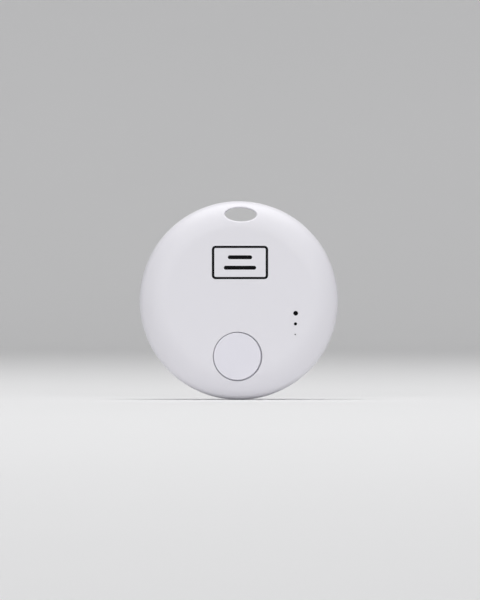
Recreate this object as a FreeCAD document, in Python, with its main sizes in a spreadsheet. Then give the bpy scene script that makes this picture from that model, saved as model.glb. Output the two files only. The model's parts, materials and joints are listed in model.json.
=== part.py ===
import FreeCAD, Part
import math
import operator
import os
from types import SimpleNamespace

import Sketcher

# Round key-ring tracker: a pebble-shaped case in two shells with a slot for a ring, a press button, sound
# ports over a disc sounder, a circuit board, a coin cell in a clipped bay and a battery door that screws out.
#
# Sizes are millimetres and degrees. Pieces are drawn with the disc's axis along Y: Y is the depth behind the
# front face, X runs to the right as the front is seen and Z runs up. Each finished piece is then placed so
# that the origin is the centre of the key-ring slot, half way through the case.

SIZES = {
    # Case
    "rim_width": 5.95,  # collar of the battery door to the outside of the case
    "case_wall": 1.0,
    "front_shoulder_radius": 7.0,  # large radius out of the front face
    "front_edge_radius": 2.3,  # small radius into the rim
    "rear_shoulder_radius": 5.0,
    "rear_edge_radius": 2.2,
    "shoulder_angle": 40.0,  # turned by each large radius
    "seam_chamfer": 0.12,
    "lip_height": 1.0,  # lip of the rear shell inside the front shell
    "lip_room": 0.1,  # straight rim in front of the lip
    "lip_thickness": 0.7,
    "lip_clearance": 0.05,
    "bead_height": 0.14,  # snap bead round the lip
    "bead_width": 0.36,
    # Key-ring slot
    "strap_width": 1.08,  # slot to the outside of the case
    "slot_width": 6.05,
    "slot_height": 2.72,
    "slot_wall": 0.9,
    "slot_edge_radius": 0.35,
    "slot_clearance": 0.3,  # slot tube to the lip and to the board
    # Depth stack, front to rear
    "board_gap": 1.25,  # front wall to circuit board
    "board_thickness": 0.8,
    "cell_gap": 0.25,  # board to coin cell
    "cell_thickness": 3.2,
    "pad_thickness": 0.3,
    "door_thickness": 1.1,
    "door_recess_depth": 0.1,  # door below the rear face
    # Button
    "button_margin": 3.61,  # outside of the case to the button hole
    "button_diameter": 9.1,
    "button_gap": 0.12,
    "button_face_thickness": 0.7,
    "button_skirt_thickness": 0.6,
    "button_edge_radius": 0.15,
    "button_flange_width": 0.75,  # flange beyond the side of the cap
    "flange_thickness": 0.4,
    "flange_clearance": 0.3,
    "ram_diameter": 2.6,  # ram of the cap on the switch
    "return_ring_width": 1.1,
    # Sound ports, in a column
    "port_margin": 8.08,  # outside of the case to the column
    "port_drop": 2.2,  # disc centre down to the first port
    "port_pitch": 2.03,
    "port_large_diameter": 0.82,
    "port_medium_diameter": 0.52,
    "port_small_diameter": 0.28,
    "mesh_margin": 0.17,  # mesh beyond the two larger ports
    "mesh_clearance": 0.2,  # mesh to the ring that the sounder sits on
    "mesh_thickness": 0.08,
    # Sounder
    "sounder_diameter": 9.0,
    "plate_thickness": 0.15,
    "ceramic_diameter": 6.4,
    "ceramic_thickness": 0.12,
    "chamber_depth": 0.35,  # air space in front of the sounder
    "seat_width": 0.7,
    "bond_thickness": 0.1,
    "pin_diameter": 0.5,
    "pin_foot_diameter": 1.0,
    "pin_foot_height": 0.3,
    "pin_offset": 2.0,
    # Circuit board and its screws
    "board_margin": 2.5,  # outside of the case to the board
    "screw_clearance": 0.3,  # screw heads to the battery frame
    "screw_diameter": 1.4,
    "screw_length": 2.2,
    "screw_head_diameter": 2.6,
    "screw_head_height": 0.7,
    "drive_length": 1.4,
    "drive_width": 0.35,
    "drive_depth": 0.35,
    "boss_diameter": 3.0,
    "fit_clearance": 0.05,  # round screws, pegs and the sounder
    # Parts on the board
    "radio_width": 5.0,
    "radio_height": 0.85,
    "radio_left": 3.0,
    "radio_rise": 3.0,
    "crystal_length": 3.2,
    "crystal_width": 2.5,
    "crystal_height": 0.75,
    "clock_length": 3.2,
    "clock_width": 1.5,
    "clock_height": 0.7,
    "crystal_gap": 1.3,  # radio chip to both crystals
    "crystal_spread": 1.2,  # one crystal to the other
    "antenna_length": 5.0,
    "antenna_width": 2.0,
    "antenna_height": 0.8,
    "antenna_inset": 2.3,  # edge of the board to the middle of the antenna
    "antenna_angle": 122.0,
    "coil_width": 3.0,
    "coil_height": 1.0,
    "coil_right": 6.2,
    "coil_rise": 9.2,
    "transistor_length": 2.9,
    "transistor_width": 1.3,
    "transistor_height": 0.9,
    "transistor_gap": 0.9,  # from the coil
    "lead_width": 0.4,
    "lead_thickness": 0.15,
    "lead_reach": 0.55,
    "lead_pitch": 1.9,
    "chip_length": 1.0,  # small resistors and capacitors
    "chip_width": 0.5,
    "chip_end_length": 0.2,
    "capacitor_height": 0.5,
    "resistor_height": 0.35,
    "chip_pitch": 1.5,
    "chip_margin": 1.2,  # from the radio chip to the chips round it
    "led_height": 0.4,
    # Coin cell
    "cell_diameter": 20.0,
    "cap_inset": 1.25,  # can to the side of the negative cap
    "cell_metal_thickness": 0.25,
    "crimp_width": 0.85,
    "cap_height": 0.2,  # negative cap in front of the crimped can
    "can_edge_radius": 0.4,
    "cell_clearance": 0.03,
    "anode_thickness": 0.6,
    # Cell bay
    "bay_clearance": 0.2,
    "frame_wall": 0.8,
    "frame_foot_height": 0.6,
    "frame_foot_reach": 1.9,
    "frame_stop_gap": 0.3,  # frame to the plug of the door
    "frame_bridge_height": 0.5,  # frame over the windows of the clips
    "window_clearance": 0.3,
    "post_diameter": 1.0,
    "post_inset": 0.3,  # posts inside the edge of the collar
    "peg_length": 0.6,
    "clip_thickness": 0.15,
    "clip_width": 3.0,
    "clip_clearance": 0.05,
    "clip_foot_length": 1.8,
    "spring_thickness": 0.12,
    "spring_width": 3.0,
    "spring_length": 12.4,
    "spring_foot_length": 3.0,
    "spring_tip_length": 1.0,
    "film_thickness": 0.08,
    "film_clearance": 0.4,
    # Battery door
    "plug_clearance": 0.5,  # cell to the inside of the plug
    "plug_wall": 0.8,
    "plug_length": 1.6,
    "door_clearance": 0.2,
    "door_flange": 1.0,
    "door_flange_thickness": 0.8,
    "door_chamfer": 0.2,
    "seal_thickness": 0.4,
    "collar_floor": 0.5,  # collar in front of the thread runs
    "collar_wall": 0.95,
    "lug_height": 0.7,
    "lug_thickness": 0.7,
    "lug_root_depth": 0.2,  # lugs sunk into the plug
    "lug_sweep": 14.0,
    "lug_backlash": 3.0,  # angle of run behind a closed lug
    "thread_lead": 4.8,
    "thread_clearance": 0.1,
    "coin_slot_length": 11.0,
    "coin_slot_width": 1.7,
    "coin_slot_depth": 0.55,
    "pad_diameter": 15.0,
    "mark_diameter": 0.8,
    "mark_depth": 0.2,
    "mark_inset": 1.1,
    # Switch under the button
    "switch_wall": 0.35,
    "switch_height": 0.5,
    "cover_thickness": 0.1,
    "cover_tab_width": 3.0,
    "switch_floor_thickness": 0.08,
    "dome_diameter": 3.5,
    "dome_thickness": 0.06,
    "dome_height": 0.28,
    "dome_foot_width": 0.3,
    "dome_clearance": 0.15,
    "stem_diameter": 2.0,
    "stem_clearance": 0.1,
    "stem_flange_diameter": 3.0,
    "stem_flange_thickness": 0.06,
    "nub_diameter": 1.2,
}
SCREW_ANGLES = (35.0, 150.0, 222.0, 318.0)
POST_ANGLES = (90.0, 195.0, 345.0)
CLIP_ANGLES = (0.0, 180.0)
LUG_ANGLES = (0.0, 120.0, 240.0)
MARK_ANGLE = 90.0
CHIP_COUNT = 4
QUARTER_TURN = 90.0
BEYOND = 1.0  # how far a cutting solid runs past the surface that it opens

doc = FreeCAD.newDocument("tracker")
sheet = doc.addObject("Spreadsheet::Sheet", "Sizes")
for row, (alias, number) in enumerate(SIZES.items(), start=1):
    sheet.set(f"A{row}", alias)
    sheet.set(f"B{row}", str(number))
    sheet.setAlias(f"B{row}", alias)
doc.recompute()

OPERATIONS = {"+": operator.add, "-": operator.sub, "*": operator.mul, "/": operator.truediv}


class Size:
    """A number together with the expression over the sheet that gives it."""

    def __init__(self, number, text):
        self.number = float(number)
        self.text = text

    def __add__(self, other):
        return combined(self, "+", other)

    def __radd__(self, other):
        return combined(other, "+", self)

    def __sub__(self, other):
        return combined(self, "-", other)

    def __rsub__(self, other):
        return combined(other, "-", self)

    def __mul__(self, other):
        return combined(self, "*", other)

    def __rmul__(self, other):
        return combined(other, "*", self)

    def __truediv__(self, other):
        return combined(self, "/", other)

    def __neg__(self):
        return combined(0, "-", self)


def as_size(thing):
    """A Size as it is, and a plain number as a Size."""
    return thing if isinstance(thing, Size) else Size(thing, f"({thing})")


def combined(left, sign, right):
    """Two numbers or Sizes joined by an operation."""
    left, right = as_size(left), as_size(right)
    number = OPERATIONS[sign](left.number, right.number)
    return Size(number, f"({left.text} {sign} {right.text})")


def sine(angle):
    angle = as_size(angle)
    return Size(math.sin(math.radians(angle.number)), f"sin({angle.text} * 1 deg)")


def cosine(angle):
    angle = as_size(angle)
    return Size(math.cos(math.radians(angle.number)), f"cos({angle.text} * 1 deg)")


size = SimpleNamespace(**{alias: Size(number, f"Sizes.{alias}") for alias, number in SIZES.items()})

# Lengths and places that several pieces share
CELL_R = size.cell_diameter / 2
PLUG_IN = CELL_R + size.plug_clearance
PLUG_OUT = PLUG_IN + size.plug_wall
OPENING_R = PLUG_OUT + size.door_clearance
LUG_R = PLUG_OUT + size.lug_height
RUN_R = LUG_R + size.thread_clearance
COLLAR_R = RUN_R + size.collar_wall
CASE_R = COLLAR_R + size.rim_width
BEND_SIN = sine(size.shoulder_angle)
BEND_COS = cosine(size.shoulder_angle)
FRONT_FLAT_R = CASE_R - size.front_shoulder_radius * BEND_SIN - size.front_edge_radius * (1 - BEND_SIN)
REAR_FLAT_R = CASE_R - size.rear_shoulder_radius * BEND_SIN - size.rear_edge_radius * (1 - BEND_SIN)
FRONT_BAND = size.front_shoulder_radius * (1 - BEND_COS) + size.front_edge_radius * BEND_COS
BOARD_FRONT = size.case_wall + size.board_gap
BOARD_REAR = BOARD_FRONT + size.board_thickness
CELL_FRONT = BOARD_REAR + size.cell_gap
CELL_REAR = CELL_FRONT + size.cell_thickness
DOOR_INNER = CELL_REAR + size.pad_thickness
DOOR_OUTER = DOOR_INNER + size.door_thickness
CASE_DEPTH = DOOR_OUTER + size.door_recess_depth
REAR_BAND = CASE_DEPTH - size.rear_shoulder_radius * (1 - BEND_COS) - size.rear_edge_radius * BEND_COS
INSIDE_R = CASE_R - size.case_wall
LIP_OUT = INSIDE_R - size.lip_clearance
LIP_IN = LIP_OUT - size.lip_thickness
LIP_END = FRONT_BAND + size.lip_room
SEAM_DEPTH = LIP_END + size.lip_height
BEAD_DEPTH = SEAM_DEPTH - size.lip_height / 2
SLOT_RISE = CASE_R - size.strap_width - size.slot_height / 2
DOOR_R = PLUG_OUT + size.door_flange
RECESS_R = DOOR_R + size.door_clearance
FLANGE_FRONT = DOOR_OUTER - size.door_flange_thickness
SEAL_SEAT = FLANGE_FRONT - size.seal_thickness
PLUG_END = FLANGE_FRONT - size.plug_length
COLLAR_END = PLUG_END - size.thread_clearance - size.collar_floor
LUG_DEPTH = PLUG_END + size.lug_thickness / 2
RUN_OUT = (SEAL_SEAT - PLUG_END + size.thread_clearance) / size.thread_lead * 360
BUTTON_R = size.button_diameter / 2
BUTTON_HOLE_R = BUTTON_R + size.button_gap
BUTTON_DROP = CASE_R - size.button_margin - BUTTON_HOLE_R
FLANGE_R = BUTTON_R + size.button_flange_width
FLANGE_REAR = size.case_wall + size.flange_thickness
SOUNDER_R = size.sounder_diameter / 2
SOUNDER_BAY_R = SOUNDER_R + size.fit_clearance
SEAT_IN = SOUNDER_R - size.seat_width
PORT_RIGHT = CASE_R - size.port_margin
MESH_R = (size.port_pitch + size.port_large_diameter) / 2 + size.mesh_margin
MESH_DROP = size.port_drop + size.port_pitch / 2
SOUNDER_DROP = MESH_DROP + MESH_R + size.mesh_clearance - SEAT_IN
SOUNDER_SEAT = size.case_wall + size.chamber_depth
PLATE_FRONT = SOUNDER_SEAT + size.bond_thickness
PLATE_REAR = PLATE_FRONT + size.plate_thickness
CERAMIC_REAR = PLATE_REAR + size.ceramic_thickness
FRAME_IN = CELL_R + size.bay_clearance
FRAME_OUT = FRAME_IN + size.frame_wall
FRAME_REAR = PLUG_END - size.frame_stop_gap
FOOT_R = FRAME_OUT + size.frame_foot_reach
FOOT_REAR = BOARD_REAR + size.frame_foot_height
WINDOW_REAR = FRAME_REAR - size.frame_bridge_height
POST_R = size.post_diameter / 2
POST_CIRCLE = COLLAR_R - POST_R - size.post_inset
BOARD_R = CASE_R - size.board_margin
SCREW_R = size.screw_diameter / 2
SCREW_CIRCLE = FOOT_R + size.screw_clearance + size.screw_head_diameter / 2
SCREW_END = BOARD_REAR - size.screw_length
CRIMP_FRONT = CELL_FRONT + size.cap_height
COVER_REAR = BOARD_FRONT - size.switch_height
COVER_FRONT = COVER_REAR - size.cover_thickness
DOME_SEAT = BOARD_FRONT - size.switch_floor_thickness
DOME_APEX = DOME_SEAT - size.dome_height
DOME_R = size.dome_diameter / 2
STEM_R = size.stem_diameter / 2
SWITCH_WIDTH = 2 * (DOME_R + size.dome_clearance + size.switch_wall)


def bind(thing, prop, amount):
    """Binds a property of a document object to the sheet."""
    thing.setExpression(prop, as_size(amount).text)


def arc_centre(start, end, radius, side):
    """Centre of the arc from start to end: left of the travel for side 1, right of it for side -1."""
    half = (end - start) * 0.5
    reach = math.sqrt(max(radius**2 - half.Length**2, 0.0))
    left = FreeCAD.Vector(-half.y, half.x, 0).normalize()
    return start + half + left * (reach * side)


def arc_piece(start, end, radius, side):
    """The arc from start to end, with the numbers of its first and last points."""
    centre = arc_centre(start, end, radius, side)
    first, last = (start, end) if side > 0 else (end, start)
    opening = math.atan2(first.y - centre.y, first.x - centre.x)
    closing = math.atan2(last.y - centre.y, last.x - centre.x)
    if closing <= opening:
        closing += 2 * math.pi
    circle = Part.Circle(centre, FreeCAD.Vector(0, 0, 1), radius)
    ends = (1, 2) if side > 0 else (2, 1)
    return Part.ArcOfCircle(circle, opening, closing), ends


def fill_outline(sketch, corners):
    """Draws a closed outline of lines and arcs and binds each corner to the sheet.

    A corner is (x, y), or (x, y, radius, side) where an arc leads to it from the corner before.
    """
    corners = [tuple(as_size(part) for part in corner[:3]) + corner[3:] for corner in corners]
    points = [FreeCAD.Vector(corner[0].number, corner[1].number, 0) for corner in corners]
    pieces = []
    for index, corner in enumerate(corners):
        start, end = points[index - 1], points[index]
        if len(corner) == 2:
            piece, ends = Part.LineSegment(start, end), (1, 2)
        else:
            piece, ends = arc_piece(start, end, corner[2].number, corner[3])
        pieces.append((sketch.addGeometry(piece), *ends))
    for index, corner in enumerate(corners):
        piece, first, last = pieces[index]
        before, _, before_last = pieces[index - 1]
        sketch.addConstraint(Sketcher.Constraint("Coincident", before, before_last, piece, first))
        limits = [("DistanceX", -1, 1, piece, last, corner[0]), ("DistanceY", -1, 1, piece, last, corner[1])]
        if len(corner) == 4:
            limits.append(("Radius", piece, corner[2]))
        for *limit, amount in limits:
            number = sketch.addConstraint(Sketcher.Constraint(*limit, amount.number))
            bind(sketch, f"Constraints[{number}]", amount)
    return sketch


def turned(name, corners):
    """A loose solid of revolution about Y, from an outline of (radius, depth) corners."""
    solid = doc.addObject("Part::Revolution", name)
    solid.Source = fill_outline(doc.addObject("Sketcher::SketchObject", name + "_outline"), corners)
    solid.Axis = FreeCAD.Vector(0, 1, 0)
    solid.Solid = True
    return solid


def body_outline(name, corners):
    """A new body with a sketch of corners on its own XY plane."""
    body = doc.addObject("PartDesign::Body", name)
    sketch = body.newObject("Sketcher::SketchObject", name + "_outline")
    plane = next(feature for feature in body.Origin.OriginFeatures if feature.Role == "XY_Plane")
    sketch.AttachmentSupport = (plane, [""])
    sketch.MapMode = "FlatFace"
    return body, fill_outline(sketch, corners)


def turned_body(name, corners):
    """A body turned about its own Y axis from an outline of (radius, depth) corners."""
    body, sketch = body_outline(name, corners)
    feature = body.newObject("PartDesign::Revolution", name + "_turn")
    feature.Profile = sketch
    feature.ReferenceAxis = (sketch, ["V_Axis"])
    feature.Angle = 360
    return body


def strip_body(name, corners, width):
    """A body padded along Z, half each way, from an outline of (x, depth) corners."""
    body, sketch = body_outline(name, corners)
    feature = body.newObject("PartDesign::Pad", name + "_pad")
    feature.Profile = sketch
    bind(feature, "Length", width)
    feature.Midplane = True
    return body


def strip(name, corners, width, spin=0.0):
    """A loose solid padded along Z like strip_body, then turned about the disc's axis."""
    solid = doc.addObject("Part::Extrusion", name)
    solid.Base = fill_outline(doc.addObject("Sketcher::SketchObject", name + "_outline"), corners)
    solid.DirMode = "Custom"
    solid.Dir = FreeCAD.Vector(0, 0, 1)
    solid.Symmetric = True
    solid.Solid = True
    bind(solid, "LengthFwd", width)
    solid.Placement.Rotation = FreeCAD.Rotation(FreeCAD.Vector(0, 1, 0), spin)
    return solid


def post(name, x, z, radius, front, rear):
    """A cylinder along Y from one depth to another."""
    cylinder = doc.addObject("Part::Cylinder", name)
    cylinder.Placement.Rotation = FreeCAD.Rotation(FreeCAD.Vector(1, 0, 0), -QUARTER_TURN)
    bind(cylinder, "Radius", radius)
    bind(cylinder, "Height", rear - front)
    bind(cylinder, "Placement.Base.x", x)
    bind(cylinder, "Placement.Base.y", front)
    bind(cylinder, "Placement.Base.z", z)
    return cylinder


def block(name, x, z, width, height, front, rear):
    """A box centred on (x, z), from one depth to another."""
    box = doc.addObject("Part::Box", name)
    bind(box, "Length", width)
    bind(box, "Width", rear - front)
    bind(box, "Height", height)
    bind(box, "Placement.Base.x", x - width / 2)
    bind(box, "Placement.Base.y", front)
    bind(box, "Placement.Base.z", z - height / 2)
    return box


def oval(name, margin, front, rear):
    """An elliptical column on the slot's axis, larger than the slot by a margin all round."""
    rim = doc.addObject("Part::Ellipse", name + "_rim")
    rim.Placement.Rotation = FreeCAD.Rotation(FreeCAD.Vector(1, 0, 0), -QUARTER_TURN)
    bind(rim, "MajorRadius", size.slot_width / 2 + margin)
    bind(rim, "MinorRadius", size.slot_height / 2 + margin)
    bind(rim, "Placement.Base.y", front)
    bind(rim, "Placement.Base.z", SLOT_RISE)
    column = doc.addObject("Part::Extrusion", name)
    column.Base = rim
    column.DirMode = "Custom"
    column.Dir = FreeCAD.Vector(0, 1, 0)
    column.Solid = True
    bind(column, "LengthFwd", rear - front)
    return column


def thread_run(name, inner, thickness, outer, spin, sweep):
    """A block swept along the door's thread: a lug, or the run that a lug moves in.

    It starts at the depth of a closed lug, less the rise of the angle that spin turns it back.
    """
    around, back = spin
    start = LUG_DEPTH - size.thread_lead * back / 360
    spine = doc.addObject("Part::Helix", name + "_helix")
    spine.Placement.Rotation = FreeCAD.Rotation(FreeCAD.Vector(1, 0, 0), -QUARTER_TURN)
    bind(spine, "Pitch", size.thread_lead)
    bind(spine, "Height", size.thread_lead * sweep / 360)
    bind(spine, "Radius", LUG_R)
    bind(spine, "Placement.Base.y", start)
    low, high = start - thickness / 2, start + thickness / 2
    section = doc.addObject("Sketcher::SketchObject", name + "_section")
    fill_outline(section, [(inner, low), (outer, low), (outer, high), (inner, high)])
    run = doc.addObject("Part::Sweep", name)
    run.Sections = [section]
    run.Spine = (spine, ["Edge1"])
    run.Solid = True
    run.Frenet = True
    run.Placement.Rotation = FreeCAD.Rotation(FreeCAD.Vector(0, 1, 0), around - as_size(back).number)
    return run


def fuse(name, things):
    """Several solids joined into one."""
    joined = doc.addObject("Part::MultiFuse", name)
    joined.Shapes = list(things)
    return joined


def group(name, things):
    """Several separate solids as one piece."""
    together = doc.addObject("Part::Compound", name)
    together.Links = list(things)
    return together


def cut(name, base, tool):
    """One solid less another."""
    result = doc.addObject("Part::Cut", name)
    result.Base = base
    result.Tool = tool
    return result


def shared(name, one, other):
    """What two solids have in common."""
    result = doc.addObject("Part::Common", name)
    result.Base = one
    result.Tool = other
    return result


def on_circle(radius, angle):
    """The x and z of a point on a circle round the disc's axis, for an angle from +X towards +Z."""
    return radius * cosine(angle), radius * sine(angle)


SUBPARTS = []


def subpart(thing, label, x=0, z=0):
    """Names a finished piece and moves it into the part's frame, with its axis at (x, z) from the centre."""
    thing.Label = label
    bind(thing, "Placement.Base.x", x)
    bind(thing, "Placement.Base.y", -CASE_DEPTH / 2)
    bind(thing, "Placement.Base.z", z - SLOT_RISE)
    SUBPARTS.append(thing)
    return thing


# Case shells
def round_slot_mouth(name, shell, front, rear):
    """Rounds the edge of the slot that lies between two depths."""
    doc.recompute()
    width = size.slot_width.number
    mouth = []
    for number, edge in enumerate(shell.Shape.Edges, start=1):
        box = edge.BoundBox
        between = front < box.YMin and box.YMax < rear
        if between and math.isclose(box.XLength, width, rel_tol=0.02) and box.ZMin > 0:
            mouth.append(number)
    result = doc.addObject("Part::Fillet", name)
    result.Base = shell
    result.Edges = [(number, size.slot_edge_radius.number, size.slot_edge_radius.number) for number in mouth]
    return result


def front_shell():
    knee = FRONT_FLAT_R + size.front_shoulder_radius * BEND_SIN
    knee_depth = size.front_shoulder_radius * (1 - BEND_COS)
    outer = turned(
        "front_outer",
        [
            (0, 0),
            (FRONT_FLAT_R, 0),
            (knee, knee_depth, size.front_shoulder_radius, 1),
            (CASE_R, FRONT_BAND, size.front_edge_radius, 1),
            (CASE_R, SEAM_DEPTH - size.seam_chamfer),
            (CASE_R - size.seam_chamfer, SEAM_DEPTH),
            (0, SEAM_DEPTH),
        ],
    )
    inner_shoulder = size.front_shoulder_radius - size.case_wall
    inner_knee = FRONT_FLAT_R + inner_shoulder * BEND_SIN
    inner_knee_depth = size.front_shoulder_radius - inner_shoulder * BEND_COS
    groove = INSIDE_R + size.bead_height
    groove_half = size.bead_width / 2 + size.lip_clearance
    cavity = turned(
        "front_cavity",
        [
            (0, size.case_wall),
            (FRONT_FLAT_R, size.case_wall),
            (inner_knee, inner_knee_depth, inner_shoulder, 1),
            (INSIDE_R, FRONT_BAND, size.front_edge_radius - size.case_wall, 1),
            (INSIDE_R, BEAD_DEPTH - groove_half),
            (groove, BEAD_DEPTH - size.lip_clearance),
            (groove, BEAD_DEPTH + size.lip_clearance),
            (INSIDE_R, BEAD_DEPTH + groove_half),
            (INSIDE_R, SEAM_DEPTH + BEYOND),
            (0, SEAM_DEPTH + BEYOND),
        ],
    )
    seat_place = (PORT_RIGHT, -SOUNDER_DROP)
    seat = cut(
        "sounder_seat",
        post("seat_outside", *seat_place, SOUNDER_BAY_R, 0, SOUNDER_SEAT),
        post("seat_inside", *seat_place, SEAT_IN, 0, SOUNDER_SEAT),
    )
    standing = [oval("front_slot_tube", size.slot_wall, 0, SEAM_DEPTH), seat]
    for number, angle in enumerate(SCREW_ANGLES):
        place = on_circle(SCREW_CIRCLE, angle)
        standing.append(post(f"screw_boss_{number}", *place, size.boss_diameter / 2, 0, BOARD_FRONT))
    blank = cut("front_blank", outer, cut("front_hollow", cavity, fuse("front_standing", standing)))
    button_place = (0, -BUTTON_DROP)
    relief_r = FLANGE_R + size.flange_clearance
    holes = [
        oval("front_slot_hole", 0, -BEYOND, SEAM_DEPTH + BEYOND),
        post("button_hole", *button_place, BUTTON_HOLE_R, -BEYOND, BOARD_FRONT),
        post("button_relief", *button_place, relief_r, size.case_wall, BOARD_FRONT),
        post("sounder_relief", *seat_place, SOUNDER_BAY_R, SOUNDER_SEAT, BOARD_FRONT),
    ]
    port_diameters = (size.port_large_diameter, size.port_medium_diameter, size.port_small_diameter)
    for step, bore in enumerate(port_diameters):
        drop = size.port_drop + step * size.port_pitch
        holes.append(post(f"port_{step}", PORT_RIGHT, -drop, bore / 2, -BEYOND, size.case_wall + BEYOND))
    for number, angle in enumerate(SCREW_ANGLES):
        place = on_circle(SCREW_CIRCLE, angle)
        pilot = SCREW_R + size.fit_clearance
        holes.append(post(f"pilot_{number}", *place, pilot, SCREW_END - size.fit_clearance, BOARD_REAR))
    drilled = cut("front_drilled", blank, fuse("front_holes", holes))
    return subpart(round_slot_mouth("front_rounded", drilled, -BEYOND, LIP_END.number), "front_shell")


def rear_shell():
    knee = REAR_FLAT_R + size.rear_shoulder_radius * BEND_SIN
    knee_depth = CASE_DEPTH - size.rear_shoulder_radius * (1 - BEND_COS)
    outer = turned(
        "rear_outer",
        [
            (0, LIP_END),
            (LIP_OUT - size.seam_chamfer, LIP_END),
            (LIP_OUT, LIP_END + size.seam_chamfer),
            (LIP_OUT, BEAD_DEPTH - size.bead_width / 2),
            (LIP_OUT + size.bead_height, BEAD_DEPTH),
            (LIP_OUT, BEAD_DEPTH + size.bead_width / 2),
            (LIP_OUT, SEAM_DEPTH),
            (CASE_R - size.seam_chamfer, SEAM_DEPTH),
            (CASE_R, SEAM_DEPTH + size.seam_chamfer),
            (CASE_R, REAR_BAND),
            (knee, knee_depth, size.rear_edge_radius, 1),
            (REAR_FLAT_R, CASE_DEPTH, size.rear_shoulder_radius, 1),
            (0, CASE_DEPTH),
        ],
    )
    inner_shoulder = size.rear_shoulder_radius - size.case_wall
    inner_knee = REAR_FLAT_R + inner_shoulder * BEND_SIN
    inner_knee_depth = CASE_DEPTH - size.rear_shoulder_radius + inner_shoulder * BEND_COS
    offset = turned(
        "rear_offset",
        [
            (0, LIP_END - BEYOND),
            (INSIDE_R, LIP_END - BEYOND),
            (INSIDE_R, REAR_BAND),
            (inner_knee, inner_knee_depth, size.rear_edge_radius - size.case_wall, 1),
            (REAR_FLAT_R, CASE_DEPTH - size.case_wall, inner_shoulder, 1),
            (0, CASE_DEPTH - size.case_wall),
        ],
    )
    cavity = shared("rear_cavity", offset, post("inside_lip", 0, 0, LIP_IN, LIP_END - BEYOND, CASE_DEPTH))
    standing = fuse(
        "rear_standing",
        [
            oval("rear_slot_tube", size.slot_wall, SEAM_DEPTH, CASE_DEPTH),
            post("collar", 0, 0, COLLAR_R, COLLAR_END, CASE_DEPTH),
        ],
    )
    blank = cut("rear_blank", outer, cut("rear_hollow", cavity, standing))
    recess = turned(
        "door_recess",
        [
            (0, SEAL_SEAT),
            (RECESS_R, SEAL_SEAT),
            (RECESS_R, CASE_DEPTH - size.door_chamfer),
            (RECESS_R + size.door_chamfer + BEYOND, CASE_DEPTH + BEYOND),
            (0, CASE_DEPTH + BEYOND),
        ],
    )
    holes = [
        oval("rear_slot_hole", 0, LIP_END - BEYOND, CASE_DEPTH + BEYOND),
        oval("lip_gap", size.slot_wall + size.slot_clearance, LIP_END - BEYOND, SEAM_DEPTH),
        post("door_opening", 0, 0, OPENING_R, LIP_END - BEYOND, CASE_DEPTH),
        recess,
    ]
    run_thickness = size.lug_thickness + 2 * size.thread_clearance
    run_sweep = size.lug_backlash + size.lug_sweep + RUN_OUT
    runs = []
    for number, angle in enumerate(LUG_ANGLES):
        spin = (angle, size.lug_backlash)
        runs.append(thread_run(f"thread_run_{number}", PLUG_OUT, run_thickness, RUN_R, spin, run_sweep))
    for number, turn in enumerate((0, RUN_OUT)):
        place = on_circle(RECESS_R + size.mark_inset, MARK_ANGLE - turn)
        holes.append(dot_mark(f"shell_mark_{number}", *place, CASE_DEPTH))
    opened = cut("rear_opened", blank, fuse("rear_holes", holes))
    threaded = cut("rear_threaded", opened, fuse("thread_runs", runs))
    rounded = round_slot_mouth("rear_rounded", threaded, SEAM_DEPTH.number, CASE_DEPTH.number + BEYOND)
    return subpart(rounded, "rear_shell")


def dot_mark(name, x, z, surface):
    """The dimple of a dot mark in a face that looks to the rear."""
    return post(name, x, z, size.mark_diameter / 2, surface - size.mark_depth, surface + BEYOND)


# Battery door
def battery_door():
    blank = turned(
        "door_blank",
        [
            (0, DOOR_INNER),
            (PLUG_IN, DOOR_INNER),
            (PLUG_IN, PLUG_END),
            (PLUG_OUT, PLUG_END),
            (PLUG_OUT, FLANGE_FRONT),
            (DOOR_R, FLANGE_FRONT),
            (DOOR_R, DOOR_OUTER - size.door_chamfer),
            (DOOR_R - size.door_chamfer, DOOR_OUTER),
            (0, DOOR_OUTER),
        ],
    )
    lugs = []
    for number, angle in enumerate(LUG_ANGLES):
        root = PLUG_OUT - size.lug_root_depth
        spin = (angle, 0)
        lugs.append(thread_run(f"lug_{number}", root, size.lug_thickness, LUG_R, spin, size.lug_sweep))
    floor = DOOR_OUTER - size.coin_slot_depth
    slot = block("coin_slot", 0, 0, size.coin_slot_length, size.coin_slot_width, floor, DOOR_OUTER + BEYOND)
    mark = dot_mark("door_mark", *on_circle(DOOR_R - size.mark_inset, MARK_ANGLE), DOOR_OUTER)
    solid = fuse("door_with_lugs", [blank] + lugs)
    return subpart(cut("door_cut", solid, fuse("door_cuts", [slot, mark])), "battery_door")


def ring_body(name, inner, outer, front, rear):
    """A flat ring round its own Y axis."""
    return turned_body(name, [(inner, front), (outer, front), (outer, rear), (inner, rear)])


def disc_body(name, radius, front, rear):
    """A flat disc on its own Y axis."""
    return turned_body(name, [(0, front), (radius, front), (radius, rear), (0, rear)])


def door_seal():
    inner = OPENING_R + size.fit_clearance
    outer = DOOR_R - size.fit_clearance
    return subpart(ring_body("seal", inner, outer, SEAL_SEAT, FLANGE_FRONT), "door_seal")


def cell_pad():
    return subpart(disc_body("pad", size.pad_diameter / 2, CELL_REAR, DOOR_INNER), "cell_pad")


# Button and the switch under it
def button_cap():
    body = turned_body(
        "button",
        [
            (0, 0),
            (BUTTON_R - size.button_edge_radius, 0),
            (BUTTON_R, size.button_edge_radius, size.button_edge_radius, 1),
            (BUTTON_R, size.case_wall),
            (FLANGE_R, size.case_wall),
            (FLANGE_R, FLANGE_REAR),
            (BUTTON_R - size.button_skirt_thickness, FLANGE_REAR),
            (BUTTON_R - size.button_skirt_thickness, size.button_face_thickness),
            (size.ram_diameter / 2, size.button_face_thickness),
            (size.ram_diameter / 2, FLANGE_REAR),
            (0, FLANGE_REAR),
        ],
    )
    return subpart(body, "button_cap", z=-BUTTON_DROP)


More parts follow.
